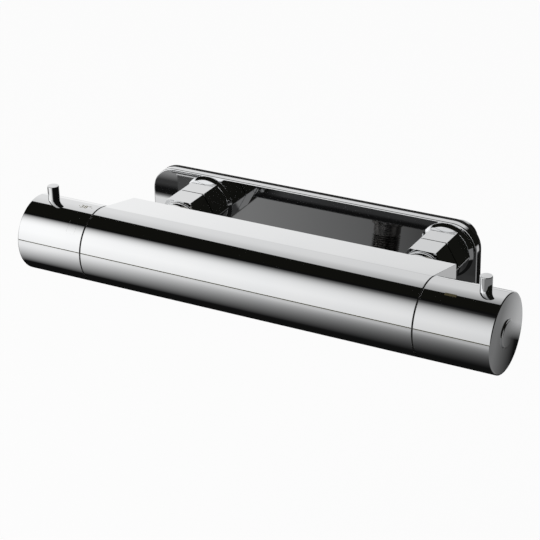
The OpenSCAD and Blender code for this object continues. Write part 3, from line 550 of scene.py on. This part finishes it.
def body_outline():
    """The body's section, from the upper touch point round the front and back along the shelf."""
    y1, z1, turn1 = touch_point(shelf_back, shelf_top, 1)
    y2, z2, turn2 = touch_point(shelf_back, shelf_low, -1)
    turn2 += 2 * math.pi
    steps = 220
    arc = [
        (body_r * math.cos(turn1 + (turn2 - turn1) * k / steps),
         body_r * math.sin(turn1 + (turn2 - turn1) * k / steps))
        for k in range(steps + 1)
    ]
    rear = rounded([
        (y2, z2, 0), (shelf_back, shelf_low, shelf_edge), (shelf_back, shelf_top, shelf_edge), (y1, z1, 0),
    ])[1:-1]
    half = len(rear) // 2
    low, high = rear[:half], rear[half:]
    return (
        arc + stretch(arc[-1], low[0], 10) + low + stretch(low[-1], high[0], 16) + high
        + stretch(high[-1], arc[0], 10)
    )


def at_x(x, outline):
    return [(x, y + AXIS_Y, z) for y, z in outline]


def lofted(name, rings):
    """A closed skin over rings of equal count, which also closes from the last to the first."""
    count = len(rings[0])
    points = [Vector(p) * MM for ring in rings for p in ring]
    faces = []
    for r in range(len(rings)):
        a, b = r * count, (r + 1) % len(rings) * count
        for k in range(count):
            n = (k + 1) % count
            faces.append((a + k, a + n, b + n, b + k))
    return skinned(name, points, faces)


section = body_outline()
spokes = [math.atan2(z, y) for y, z in section]
body_rings = []
mixing_r, cartridge_r, lock_nut_r, spigot_r = 8.0, 14.5, 15.5, 17.2
lock_nut_depth, spigot_l, spigot_chamfer = 6.0, 5.0, 0.3
cartridge_depths = {-1: 60.5, 1: 45.0}
for side in (-1, 1):
    inner = [
        (-cartridge_depths[side], mixing_r), (-cartridge_depths[side], cartridge_r),
        (-lock_nut_depth, cartridge_r), (-lock_nut_depth, lock_nut_r),
        (spigot_l - spigot_chamfer, lock_nut_r), (spigot_l, lock_nut_r + spigot_chamfer),
        (spigot_l, spigot_r - spigot_chamfer), (spigot_l - spigot_chamfer, spigot_r), (0.0, spigot_r),
    ]
    circles = [
        at_x(side * (body_end + x), [(r * math.cos(a), r * math.sin(a)) for a in spokes]) for x, r in inner
    ]
    edge = [
        at_x(
            side * (body_end - body_edge * (1 - math.sin(k * math.pi / 10))),
            mitred(section, body_edge * (1 - math.cos(k * math.pi / 10))),
        )
        for k in range(5, -1, -1)
    ]
    part = circles + edge
    body_rings += part if side < 0 else part[::-1]
    if side < 0:
        body_rings += [at_x(x, section) for x in (-90, -60, -20, 3, 27, 60, 90)]
chromed_body = blank("chromed_body", lofted("chromed_body", body_rings))
inlet_x = 75.0
boss_out, boss_r, shelf_out = 42.5, 12.5, 48.0
tail_port_out, tail_port_r, inlet_way_r = 57.2, 7.95, 6.5
steps = []
for x in (-inlet_x, inlet_x):
    steps.append(("UNION", turned("boss", rounded([
        (shelf_out + 1, 0, 0), (shelf_out + 1, boss_r, 0), (boss_out, boss_r, 0.5), (boss_out, 0, 0),
    ]), facing((x, 0, 0), (0, -1, 0)), 96)))
for x, way_out in ((-inlet_x, 74.75), (inlet_x, 65.45)):
    steps.append(("DIFFERENCE", turned("inlet port", [
        (boss_out - 1.5, 0), (boss_out - 1.5, tail_port_r), (tail_port_out, tail_port_r),
        (tail_port_out, inlet_way_r), (way_out, inlet_way_r), (way_out, 0),
    ], facing((x, 0, 0), (0, -1, 0)), 64)))
outlet_x, outlet_back, outlet_port_r = 15.0, 16.6, 7.6
slope = math.radians(16.67)
at_outlet = facing(
    (outlet_x, AXIS_Y + outlet_back * math.cos(slope), outlet_back * math.sin(slope)),
    (0, -math.sin(slope), math.cos(slope)),
)
steps.append(("DIFFERENCE", turned(
    "outlet port", [(-22.5, 0), (-22.5, outlet_port_r), (-11, outlet_port_r), (-11, 0)], at_outlet, 96
)))
carved(chromed_body, *steps)
body_chrome = chrome("polished chrome on the body", 0.03, 0.02)
polished(chromed_body, body_chrome)
fitted(chromed_body, "valve", "body_chrome", "valve_body")


# Wall plate: one pressed brass cover with rounded corners and a soft front edge, chromed. It
# slips over both unions and hides the wall's two holes.
plate_half_w, plate_half_h, plate_corner = 102.5, 28.0, 15.0
plate_x, plate_z = -10.0, 16.4 - plate_half_h
plate_back, plate_front, plate_edge = 2.6, 6.5, 0.8
plate_hole_r = 10.98


def plate_outline():
    outline = []
    for i, (sx, sz) in enumerate(((1, 1), (-1, 1), (-1, -1), (1, -1))):
        for k in range(17):
            turn = math.pi / 2 * (i + k / 16)
            outline.append((
                sx * (plate_half_w - plate_corner) + plate_corner * math.cos(turn),
                sz * (plate_half_h - plate_corner) + plate_corner * math.sin(turn),
            ))
    return outline


def plate_ring(out, inset):
    return [
        Vector((x + plate_x, -out, z + plate_z)) * MM for x, z in mitred(plate_outline(), inset)
    ]


plate_rings = [plate_ring(plate_back, 0.3), plate_ring(plate_back + 0.3, 0.0)]
for k in range(11):
    turn = math.pi / 2 * k / 10
    plate_rings.append(plate_ring(
        plate_front - plate_edge * (1 - math.sin(turn)), plate_edge * (1 - math.cos(turn))
    ))
plate_rings.append(plate_ring(plate_front, plate_edge + 1.0))
count = len(plate_rings[0])
faces = [
    (r * count + k, r * count + (k + 1) % count, (r + 1) * count + (k + 1) % count, (r + 1) * count + k)
    for r in range(len(plate_rings) - 1) for k in range(count)
]
faces += [tuple(range(count)), tuple(range((len(plate_rings) - 1) * count, len(plate_rings) * count))]
chromed_plate = blank(
    "chromed_wall_plate", skinned("chromed_wall_plate", [p for ring in plate_rings for p in ring], faces)
)
carved(chromed_plate, *[
    ("DIFFERENCE", turned("hole", [(0, 0), (0, plate_hole_r), (8, plate_hole_r), (8, 0)],
                          facing((x, 0, 0), (0, -1, 0)), 96))
    for x in (-inlet_x, inlet_x)
])
plate_chrome = chrome("polished chrome on the plate", 0.025, 0.015)
polished(chromed_plate, plate_chrome)
fitted(chromed_plate, "valve", "plate_chrome", "wall_plate")


# Clamping rings: two turned brass rings, chromed, that the unions press against the plate.
fitting_chrome = chrome("polished chrome on the fittings", 0.035, 0.025)
ring_front, ring_bore_r, ring_rear_r, ring_front_r = 9.0, 10.53, 16.0, 14.3
ring_work = bmesh.new()
for x in (-inlet_x, inlet_x):
    ring_work.from_mesh(turned("ring", rounded([
        (plate_front, ring_bore_r, 0), (plate_front, ring_rear_r, 0.2), (ring_front, ring_front_r, 0.5),
        (ring_front, ring_bore_r, 0.2),
    ]), facing((x, 0, 0), (0, -1, 0)), 128))
clamping_rings = blank("chromed_clamping_rings", bpy.data.meshes.new("chromed_clamping_rings"))
ring_work.to_mesh(clamping_rings.data)
ring_work.free()
polished(clamping_rings, fitting_chrome)
fitted(clamping_rings, "valve", "fitting_chrome", "plate_rings")


# Wall unions: hexagon brass fittings, chromed, screwed into the wall with a half-inch pipe
# thread. A second thread in front of the hexagon takes the union nut.
hex_across = 26.0
hex_corner_r = hex_across / math.sqrt(3)
thread_pitch, thread_depth, thread_r = 1.814, 1.16, 10.4775
thread_root = thread_r - thread_depth
union_front, stem_front, wall_thread_l, relief_r, union_way_r = 23.8, 30.75, 15, 9.88, 7


def hexagon(name, x, start, end, front, rear):
    """A hexagon bar that points out of the wall, with rounded corners and chamfered ends."""
    work = bmesh.new()
    rows = []
    for out in (start, end):
        rows.append([
            work.verts.new(Vector((
                x + hex_corner_r * math.cos(math.pi / 3 * k), -out, hex_corner_r * math.sin(math.pi / 3 * k)
            )) * MM)
            for k in range(6)
        ])
    for k in range(6):
        n = (k + 1) % 6
        work.faces.new((rows[0][k], rows[0][n], rows[1][n], rows[1][k]))
    work.faces.new(rows[0])
    work.faces.new(rows[1])
    corners = [
        edge for edge in work.edges if abs(edge.verts[0].co.y - edge.verts[1].co.y) > (end - start) * MM / 2
    ]
    bmesh.ops.bevel(work, geom=corners, offset=0.4 * MM, segments=4, profile=0.5, affect="EDGES")
    bmesh.ops.recalc_face_normals(work, faces=work.faces)
    bar = blank(name, bpy.data.meshes.new(name))
    work.to_mesh(bar.data)
    work.free()
    carved(bar, ("INTERSECT", turned("chamfer", [
        (start, 0), (start, hex_corner_r - rear * 2), (start + rear, hex_corner_r),
        (start + rear, hex_corner_r + 1), (end - front, hex_corner_r + 1), (end - front, hex_corner_r),
        (end, hex_corner_r - front * 2), (end, 0),
    ], facing((x, 0, 0), (0, -1, 0)), 180)))
    return bar


def softened(bar, width):
    soft = bar.modifiers.new("soft edges", "BEVEL")
    soft.width, soft.segments, soft.limit_method = width * MM, 2, "ANGLE"
    soft.angle_limit = math.radians(28)
    settle(bar)


def thread_maker():
    """A tree that winds one ridge of V section round a root, thinning out at both ends."""
    group = bpy.data.node_groups.new("pipe thread", "GeometryNodeTree")
    for label in ("Turns", "Pitch", "Root radius", "Depth"):
        group.interface.new_socket(label, in_out="INPUT", socket_type="NodeSocketFloat")
    group.interface.new_socket("Finish", in_out="INPUT", socket_type="NodeSocketMaterial")
    group.interface.new_socket("Thread", in_out="OUTPUT", socket_type="NodeSocketGeometry")
    tree = Tree(group)
    given = tree.add("NodeGroupInput")
    turns, pitch = given.out("Turns"), given.out("Pitch")
    root, depth = given.out("Root radius"), given.out("Depth")
    line = tree.add("GeometryNodeCurveSpiral", {}, {
        "Resolution": 72, "Rotations": turns, "Start Radius": root, "End Radius": root,
        "Height": turns * pitch,
    })
    line = tree.add("GeometryNodeSetCurveNormal", {"mode": "Z_UP"}, {"Curve": line})
    share = tree.add("GeometryNodeSplineParameter", out="Factor")
    fade = (share * turns * 2.0).clamped() * ((1.0 - share) * turns * 2.0).clamped()
    shape = tree.add("GeometryNodeCurvePrimitiveQuadrilateral", {"mode": "KITE"}, {
        "Width": depth * 2.0, "Bottom Height": pitch * 0.5, "Top Height": pitch * 0.5,
    })
    ridge = tree.add("GeometryNodeCurveToMesh", {}, {
        "Curve": line, "Profile Curve": shape, "Scale": fade, "Fill Caps": True,
    })
    ridge = tree.add("GeometryNodeRealizeInstances", {}, {0: ridge})
    ridge = tree.add("GeometryNodeSetMaterial", {}, {"Geometry": ridge, "Material": given.out("Finish")})
    tree.add("NodeGroupOutput", {}, {0: ridge})
    return group


pipe_thread = thread_maker()


def thread_ridge(length, finish, pitch, root, depth):
    """One ridge along Z, in millimetres, as a plain mesh."""
    winder = blank("thread", bpy.data.meshes.new("thread"))
    wind = winder.modifiers.new("wind", "NODES")
    wind.node_group = pipe_thread
    values = {
        "Turns": length / pitch, "Pitch": pitch, "Root radius": root, "Depth": depth, "Finish": finish,
    }
    for item in pipe_thread.interface.items_tree:
        if item.in_out == "INPUT":
            wind[item.identifier] = values[item.name]
    settle(winder)
    ridge = winder.data
    bpy.data.objects.remove(winder)
    return ridge


def with_ridges(thing, finish, *ridges):
    """Joins thread ridges to a fitting. Each is where it stands, its length, pitch, root and depth."""
    work = bmesh.new()
    work.from_mesh(thing.data)
    for where, length, *sizes in ridges:
        ridge = thread_ridge(length, finish, *sizes)
        ridge.transform(where)
        work.from_mesh(ridge)
    bmesh.ops.recalc_face_normals(work, faces=work.faces)
    work.to_mesh(thing.data)
    work.free()


for label, x in (("hot", -inlet_x), ("cold", inlet_x)):
    union = hexagon(f"{label}_chromed_union", x, ring_front, union_front, 0.3, 0.2)
    carved(
        union,
        ("UNION", turned("front stem", rounded([
            (23, 0, 0), (23, thread_root + 0.1, 0), (stem_front, thread_root + 0.1, 0.3), (stem_front, 0, 0),
        ]), facing((x, 0, 0), (0, -1, 0)), 96)),
        ("UNION", turned("rear stem", rounded([
            (-wall_thread_l, 0, 0), (-wall_thread_l, thread_root + 0.1, 0.6), (0, thread_root + 0.1, 0),
            (0, relief_r, 0), (10, relief_r, 0), (10, 0, 0),
        ]), facing((x, 0, 0), (0, -1, 0)), 96)),
        ("DIFFERENCE", turned("waterway", [
            (-wall_thread_l - 1, 0), (-wall_thread_l - 1, union_way_r), (32, union_way_r), (32, 0),
        ], facing((x, 0, 0), (0, -1, 0)), 96)),
    )
    softened(union, 0.12)
    with_ridges(
        union, fitting_chrome,
        (facing((x, -24.8, 0), (0, -1, 0)), 4.9, thread_pitch, thread_root, thread_depth),
        (facing((x, 13.9, 0), (0, -1, 0)), 12.8, thread_pitch, thread_root, thread_depth),
    )
    polished(union, fitting_chrome)
    fitted(union, "valve", "fitting_chrome", f"{label}_wall_union")


# Union nuts: hexagon brass nuts, chromed, that clamp each inlet tail to its union.
nut_rear, nut_front, shoulder_front, shoulder_r = 24.5, 38.4, 39.3, 12.4
cavity_front, cavity_r, tail_hole_r = 34.3, 10.53, 8.05
for label, x in (("hot", -inlet_x), ("cold", inlet_x)):
    nut = hexagon(f"{label}_chromed_nut", x, nut_rear, nut_front, 0.3, 0.3)
    shoulder = turned("shoulder", rounded([
        (37, 0, 0), (37, shoulder_r, 0), (shoulder_front, shoulder_r, 0.8), (shoulder_front, 0, 0),
    ]), facing((x, 0, 0), (0, -1, 0)), 128)
    cavity = turned("cavity", [
        (23, 0), (23, cavity_r), (cavity_front, cavity_r), (cavity_front, tail_hole_r),
        (40, tail_hole_r), (40, 0),
    ], facing((x, 0, 0), (0, -1, 0)), 96)
    carved(nut, ("UNION", shoulder), ("DIFFERENCE", cavity))
    softened(nut, 0.12)
    polished(nut, fitting_chrome)
    fitted(nut, "valve", "fitting_chrome", f"{label}_union_nut")


# Inlet tails: turned brass tubes, nickel plated, with a flange that the nut pulls on.
def metal(name, pale_tint, deep_tint, roughness, turned_rings):
    """Plain turned metal: fine tool rings, uneven colour and a satin gloss."""
    finish = bpy.data.materials.new(name)
    finish.use_nodes = True
    tree = Tree(finish.node_tree)
    place = tree.add("ShaderNodeTexCoord", out="Object")
    cloud = tree.add("ShaderNodeTexNoise", {}, {"Vector": place, "Scale": 210.0, "Detail": 5.0})
    rings = tree.add("ShaderNodeTexNoise", {}, {
        "Vector": tree.add("ShaderNodeMapping", {}, {"Vector": place, "Scale": turned_rings}),
        "Scale": 1.0, "Detail": 2.0,
    })
    relief = tree.add("ShaderNodeBump", {}, {"Strength": 0.25, "Distance": 0.00004, "Height": rings})
    surface = tree.add("ShaderNodeBsdfPrincipled", {}, {
        "Base Color": tree.blend(cloud.step(0.35, 0.7), pale_tint, deep_tint),
        "Metallic": 1.0,
        "Roughness": roughness + cloud.step(0.3, 0.8) * 0.1 + rings.step(0.4, 0.7) * 0.06,
        "Normal": relief,
    })
    tree.add("ShaderNodeOutputMaterial", {}, {"Surface": surface})
    return finish


nickel = metal("nickel plated brass", (0.80, 0.76, 0.68, 1), (0.70, 0.66, 0.58, 1), 0.16, (40, 4000, 40))
tail_rear, tail_front, flange_front, lip_rear = 32.25, 56, 34.25, 54.5
tail_r, tail_bore_r, flange_r, lip_r = 7.9, 6.4, 9.2, 5.4
for label, x in (("hot", -inlet_x), ("cold", inlet_x)):
    tail = blank(f"{label}_turned_tail", turned(f"{label}_turned_tail", rounded([
        (tail_rear, tail_bore_r, 0), (tail_rear, flange_r, 0.15), (flange_front, flange_r, 0.15),
        (flange_front, tail_r, 0), (tail_front, tail_r, 0.2), (tail_front, lip_r, 0.15),
        (lip_rear, lip_r, 0), (lip_rear, tail_bore_r, 0),
    ]), facing((x, 0, 0), (0, -1, 0)), 128))
    polished(tail, nickel)
    fitted(tail, "valve", "nickel_brass", f"{label}_inlet_tail")


# Outlet: a threaded brass nipple, screwed square into the sloping underside of the shelf. Its very dark
# colour is painted shade, for the shade under the shelf. It takes the three-eighths-inch nut of the shower
# hose.
hose_crest, hose_depth, hose_pitch = 8.331, 0.856, 1.337
hose_root = hose_crest - hose_depth
nipple = blank("chromed_outlet_nipple", turned("chromed_outlet_nipple", rounded([
    (-40.75, 5.2, 0.2), (-40.75, hose_root + 0.1, 0.5), (-28.75, hose_root + 0.1, 0), (-28.75, 8.0, 0.2),
    (-23.75, 8.0, 0.2), (-23.75, 9.5, 0.4), (-21.25, 9.5, 0.2), (-21.25, 7.55, 0), (-19.85, 7.55, 0),
    (-19.85, 6.3, 0), (-18.15, 6.3, 0), (-18.15, 7.55, 0), (-16.75, 7.55, 0.2), (-16.75, 5.2, 0.2),
]), at_outlet, 128))
# Painted shade: the base colour is made very dark so that the nipple looks shaded under the shelf
nipple_painted_shade = metal(
    "brass with painted shade", (0.24, 0.23, 0.22, 1), (0.19, 0.185, 0.18, 1), 0.22, (40, 40, 4000)
)
with_ridges(nipple, nipple_painted_shade, (
    at_outlet @ Matrix.Translation((0, 0, -39.9)), 10.6, hose_pitch, hose_root, hose_depth,
))
polished(nipple, nipple_painted_shade)
fitted(nipple, "valve", "fitting_chrome", "outlet_nipple")


# Knobs: two turned brass sleeves, chromed, pressed on the splined spindles. Each has an end
# wall with a recess for the cap, a hub inside and a rib that meets the stop ring.
knob_chrome = chrome("polished chrome on the knobs", 0.03, 0.02)
knob_start, knob_end, knob_edge, knob_bore_r = 0.8, 42.0, 0.8, 18.25
hub_start, hub_r, spline_r, end_wall, recess_r, recess_floor = 16, 7.5, 4.05, 37.5, 7.4, 39.6
screw_head_r, screw_seat, screw_hole_r, spline_end = 3.8, 36.5, 2.05, 31
for label, side in (("temperature", -1), ("flow", 1)):
    where = facing((side * body_end, AXIS_Y, 0), (side, 0, 0))
    knob = blank(f"{label}_chromed_knob", turned(f"{label}_chromed_knob", rounded([
        (hub_start, spline_r, 0.3), (hub_start, hub_r, 0.4), (end_wall, hub_r, 0.8),
        (end_wall, knob_bore_r, 0.8), (knob_start, knob_bore_r, 0.2), (knob_start, body_r, 0.15),
        (knob_end, body_r, knob_edge), (knob_end, recess_r, 0.15), (recess_floor, recess_r, 0),
        (recess_floor, screw_head_r, 0), (screw_seat, screw_head_r, 0), (screw_seat, screw_hole_r, 0),
        (spline_end, screw_hole_r, 0), (spline_end, spline_r, 0),
    ]), where, 256))
    rib_work = bmesh.new()
    rib_work.from_mesh(knob.data)
    bmesh.ops.create_cube(rib_work, size=1.0, matrix=(
        Matrix.Translation(Vector((side * (body_end + 7.5), AXIS_Y, 15.7)) * MM)
        @ Matrix.Diagonal(Vector((3.0, 4.0, 5.4)) * MM).to_4x4()
    ))
    rib_work.to_mesh(knob.data)
    rib_work.free()
    polished(knob, knob_chrome)
    fitted(knob, f"{label}_knob", "knob_chrome", f"{label}_knob")


# Levers: short turned pins, chromed, pressed into the top of each knob. The top is flat, with
# a narrow rounded rim.
lever_chrome = chrome("polished chrome on the levers", 0.03, 0.02)
lever_at, lever_foot, lever_top, lever_r = 30.3, 19.55, 29.45, 3.25
stem_foot, stem_r = 15.45, 2.0
for label, side in (("temperature", -1), ("flow", 1)):
    lever = blank(f"{label}_chromed_lever", turned(f"{label}_chromed_lever", rounded([
        (stem_foot, 0, 0), (stem_foot, stem_r, 0.2), (lever_foot, stem_r, 0), (lever_foot, lever_r, 0),
        (lever_top, lever_r, 0.45), (lever_top, 0, 0),
    ]), facing((side * (body_end + lever_at), AXIS_Y, 0), (0, 0, 1)), 128))
    polished(lever, lever_chrome)
    fitted(lever, f"{label}_knob", "lever_chrome", f"{label}_lever")


# Caps: flat chromed discs pressed into the recess of each knob's end, over the knob screw.
cap_chrome = chrome("polished chrome on the caps", 0.035, 0.02)
cap_front, cap_r = 42.9, 7.25
for label, side in (("temperature", -1), ("flow", 1)):
    cap = blank(f"{label}_chromed_cap", turned(f"{label}_chromed_cap", rounded([
        (recess_floor, 0, 0), (recess_floor, cap_r, 0.1), (cap_front, cap_r, 0.5), (cap_front, 0, 0),
    ]), facing((side * body_end, AXIS_Y, 0), (side, 0, 0)), 160))
    polished(cap, cap_chrome)
    fitted(cap, f"{label}_knob", "cap_chrome", f"{label}_knob_cap")


# Marks: thin fired-on lines in dull gold, the 38 mark on the temperature knob and a dash on the
# flow knob, and the hairline round the temperature knob's flush safety button.
def paint(name, pale_tint, deep_tint):
    finish = bpy.data.materials.new(name)
    finish.use_nodes = True
    tree = Tree(finish.node_tree)
    place = tree.add("ShaderNodeTexCoord", out="Object")
    speck = tree.add("ShaderNodeTexNoise", {}, {"Vector": place, "Scale": 3200.0, "Detail": 2.0})
    surface = tree.add("ShaderNodeBsdfPrincipled", {}, {
        "Base Color": tree.blend(speck.step(0.35, 0.65), pale_tint, deep_tint),
        "Roughness": 0.35 + speck * 0.2,
    })
    tree.add("ShaderNodeOutputMaterial", {}, {"Surface": surface})
    return finish


def wrapped(mesh, x, tilt, lift):
    """Lays a flat mesh in millimetres on the round knob, at x and tilt degrees forward of the top."""
    for vert in mesh.vertices:
        turn = math.radians(tilt) - vert.co.y / body_r
        out = body_r + lift + vert.co.z
        vert.co = Vector((x + vert.co.x, AXIS_Y - out * math.sin(turn), out * math.cos(turn))) * MM


def strip(x0, x1, y0, y1, thickness):
    """A flat bar in millimetres, in short lengths along y so that it can bend."""
    work = bmesh.new()
    rows = max(1, round((y1 - y0) / 0.5))
    verts = [
        [work.verts.new((x, y0 + (y1 - y0) * k / rows, z)) for x, z in (
            (x0, 0), (x1, 0), (x1, thickness), (x0, thickness))]
        for k in range(rows + 1)
    ]
    for k in range(rows):
        for c in range(4):
            n = (c + 1) % 4
            work.faces.new((verts[k][c], verts[k][n], verts[k + 1][n], verts[k + 1][c]))
    work.faces.new(verts[0])
    work.faces.new(verts[-1])
    bmesh.ops.recalc_face_normals(work, faces=work.faces)
    return work


gold_paint = paint("dull gold mark", (0.17, 0.145, 0.055, 1), (0.11, 0.095, 0.035, 1))
dash_paint = paint("dark gold mark", (0.075, 0.062, 0.022, 1), (0.05, 0.042, 0.014, 1))
hairline_paint = chrome("fine groove in the chrome", 0.18, 0.04)
mark_x, mark_w = -107.0, 8.6
label_curve = bpy.data.curves.new("38 mark", "FONT")
label_curve.body = "·38°·"
label_curve.size = 4.3
label_curve.align_x = "CENTER"
label_curve.align_y = "CENTER"
label_curve.extrude = 0.01
label_thing = blank("label", label_curve)
temperature_mark = blank("temperature_mark", bpy.data.meshes.new_from_object(
    label_thing.evaluated_get(bpy.context.evaluated_depsgraph_get())
))
bpy.data.objects.remove(label_thing)
wide = max(v.co.x for v in temperature_mark.data.vertices) - min(
    v.co.x for v in temperature_mark.data.vertices
)
temperature_mark.data.transform(Matrix.Diagonal((mark_w / wide, 1.0, 1.0, 1.0)))
wrapped(temperature_mark.data, mark_x, 3.5, 0.015)
flow_mark = blank("flow_mark", bpy.data.meshes.new("flow_mark"))
work = strip(-3.1, 3.1, -0.8, 0.8, 0.02)
work.to_mesh(flow_mark.data)
work.free()
wrapped(flow_mark.data, 113.8, 24.0, 0.005)
button_line = blank("safety_button_line", bpy.data.meshes.new("safety_button_line"))
button_work = bmesh.new()
for x0, x1, y0, y1 in ((-2.6, -2.48, -5.8, 5.8), (2.48, 2.6, -5.8, 5.8), (-2.5, 2.5, -5.8, -5.7)):
    bar = strip(x0, x1, y0, y1, 0.01)
    spare = bpy.data.meshes.new("bar")
    bar.to_mesh(spare)
    bar.free()
    button_work.from_mesh(spare)
button_work.to_mesh(button_line.data)
button_work.free()
wrapped(button_line.data, mark_x, 41.0, 0.005)
for mark, body, finish in (
    (temperature_mark, "temperature_knob", gold_paint), (flow_mark, "flow_knob", dash_paint),
    (button_line, "temperature_knob", hairline_paint),
):
    mark.data.materials.clear()
    mark.data.materials.append(finish)
    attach(mark, body)


# Springs that a moving piece presses on: coils of hard steel wire. One end rests on its fixed seat
# and the other on the poppet or the shuttle; each coil here keeps its drawn shape and length.
# Each is drawn along x or y, and pressed at the low or the high end of that.
along_x, along_y = 0, 1
low_end, high_end = 0, 1
grain_along_x = (4000, 60, 60)
spring_steel = metal(
    "drawn spring steel", (0.62, 0.62, 0.61, 1), (0.50, 0.50, 0.50, 1), 0.25, grain_along_x
)
for node, moving_body, axis, moving_end in (
    ("hot_check_spring", "hot_check_poppet", along_y, high_end),
    ("cold_check_spring", "cold_check_poppet", along_y, high_end),
    ("shuttle_return_spring", "thermostat_carriage", along_x, low_end),
):
    drawn = frame["nodes"][node]
    spring = blank(f"{node}_wire", drawn.data.copy())
    spring.data.transform(drawn.matrix_world)
    ends = [Vector(corner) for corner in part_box(node)]
    seat = (ends[0] + ends[1]) / 2
    pressed = seat.copy()
    seat[axis], pressed[axis] = ends[1 - moving_end][axis], ends[moving_end][axis]
    spring.data.materials.clear()
    spring.data.materials.append(spring_steel)
    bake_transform(spring)
    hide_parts(node)


# Inner parts: the cartridges, check valves, seals and screws keep their drawn shapes,
# and take the finish of what each is made of.
def moulded(name, pale_tint, deep_tint, roughness, grain, gloss=0.5):
    """Moulded plastic or rubber: fine surface grain and a slightly uneven colour."""
    finish = bpy.data.materials.new(name)
    finish.use_nodes = True
    tree = Tree(finish.node_tree)
    place = tree.add("ShaderNodeTexCoord", out="Object")
    cloud = tree.add("ShaderNodeTexNoise", {}, {"Vector": place, "Scale": 160.0, "Detail": 4.0})
    skin = tree.add("ShaderNodeTexNoise", {}, {"Vector": place, "Scale": grain, "Detail": 2.0})
    relief = tree.add("ShaderNodeBump", {}, {"Strength": 0.3, "Distance": 0.00005, "Height": skin})
    surface = tree.add("ShaderNodeBsdfPrincipled", {}, {
        "Base Color": tree.blend(cloud.step(0.35, 0.7), pale_tint, deep_tint),
        "Roughness": roughness + skin.step(0.3, 0.7) * 0.12,
        "Specular IOR Level": gloss,
        "Normal": relief,
    })
    tree.add("ShaderNodeOutputMaterial", {}, {"Surface": surface})
    return finish


inner_finishes = {
    "turned_brass": metal(
        "turned brass", (0.78, 0.58, 0.27, 1), (0.66, 0.47, 0.20, 1), 0.22, grain_along_x
    ),
    "nickel_brass": nickel,
    "spring_steel": spring_steel,
    "plain_steel": metal(
        "zinc plated steel", (0.66, 0.67, 0.68, 1), (0.55, 0.56, 0.58, 1), 0.30, grain_along_x
    ),
    "black_rubber": moulded(
        "black rubber", (0.007, 0.007, 0.006, 1), (0.012, 0.012, 0.010, 1), 0.55, 2400, 0.12
    ),
    "black_plastic": moulded(
        "black plastic", (0.015, 0.015, 0.014, 1), (0.028, 0.026, 0.022, 1), 0.4, 1800
    ),
    "white_plastic": moulded("white plastic", (0.80, 0.80, 0.77, 1), (0.74, 0.74, 0.70, 1), 0.38, 1800),
    "tan_plastic": moulded("tan plastic", (0.52, 0.43, 0.28, 1), (0.45, 0.36, 0.22, 1), 0.40, 1800),
    "ceramic": moulded("ground ceramic", (0.86, 0.85, 0.81, 1), (0.80, 0.79, 0.74, 1), 0.12, 5000),
    "fitting_chrome": fitting_chrome,
}
for subpart in frame["record"]["subparts"]:
    node = frame["nodes"][subpart["node"]]
    if not node.hide_render:
        node.material_slots[0].material = inner_finishes[subpart["material_slot"]]
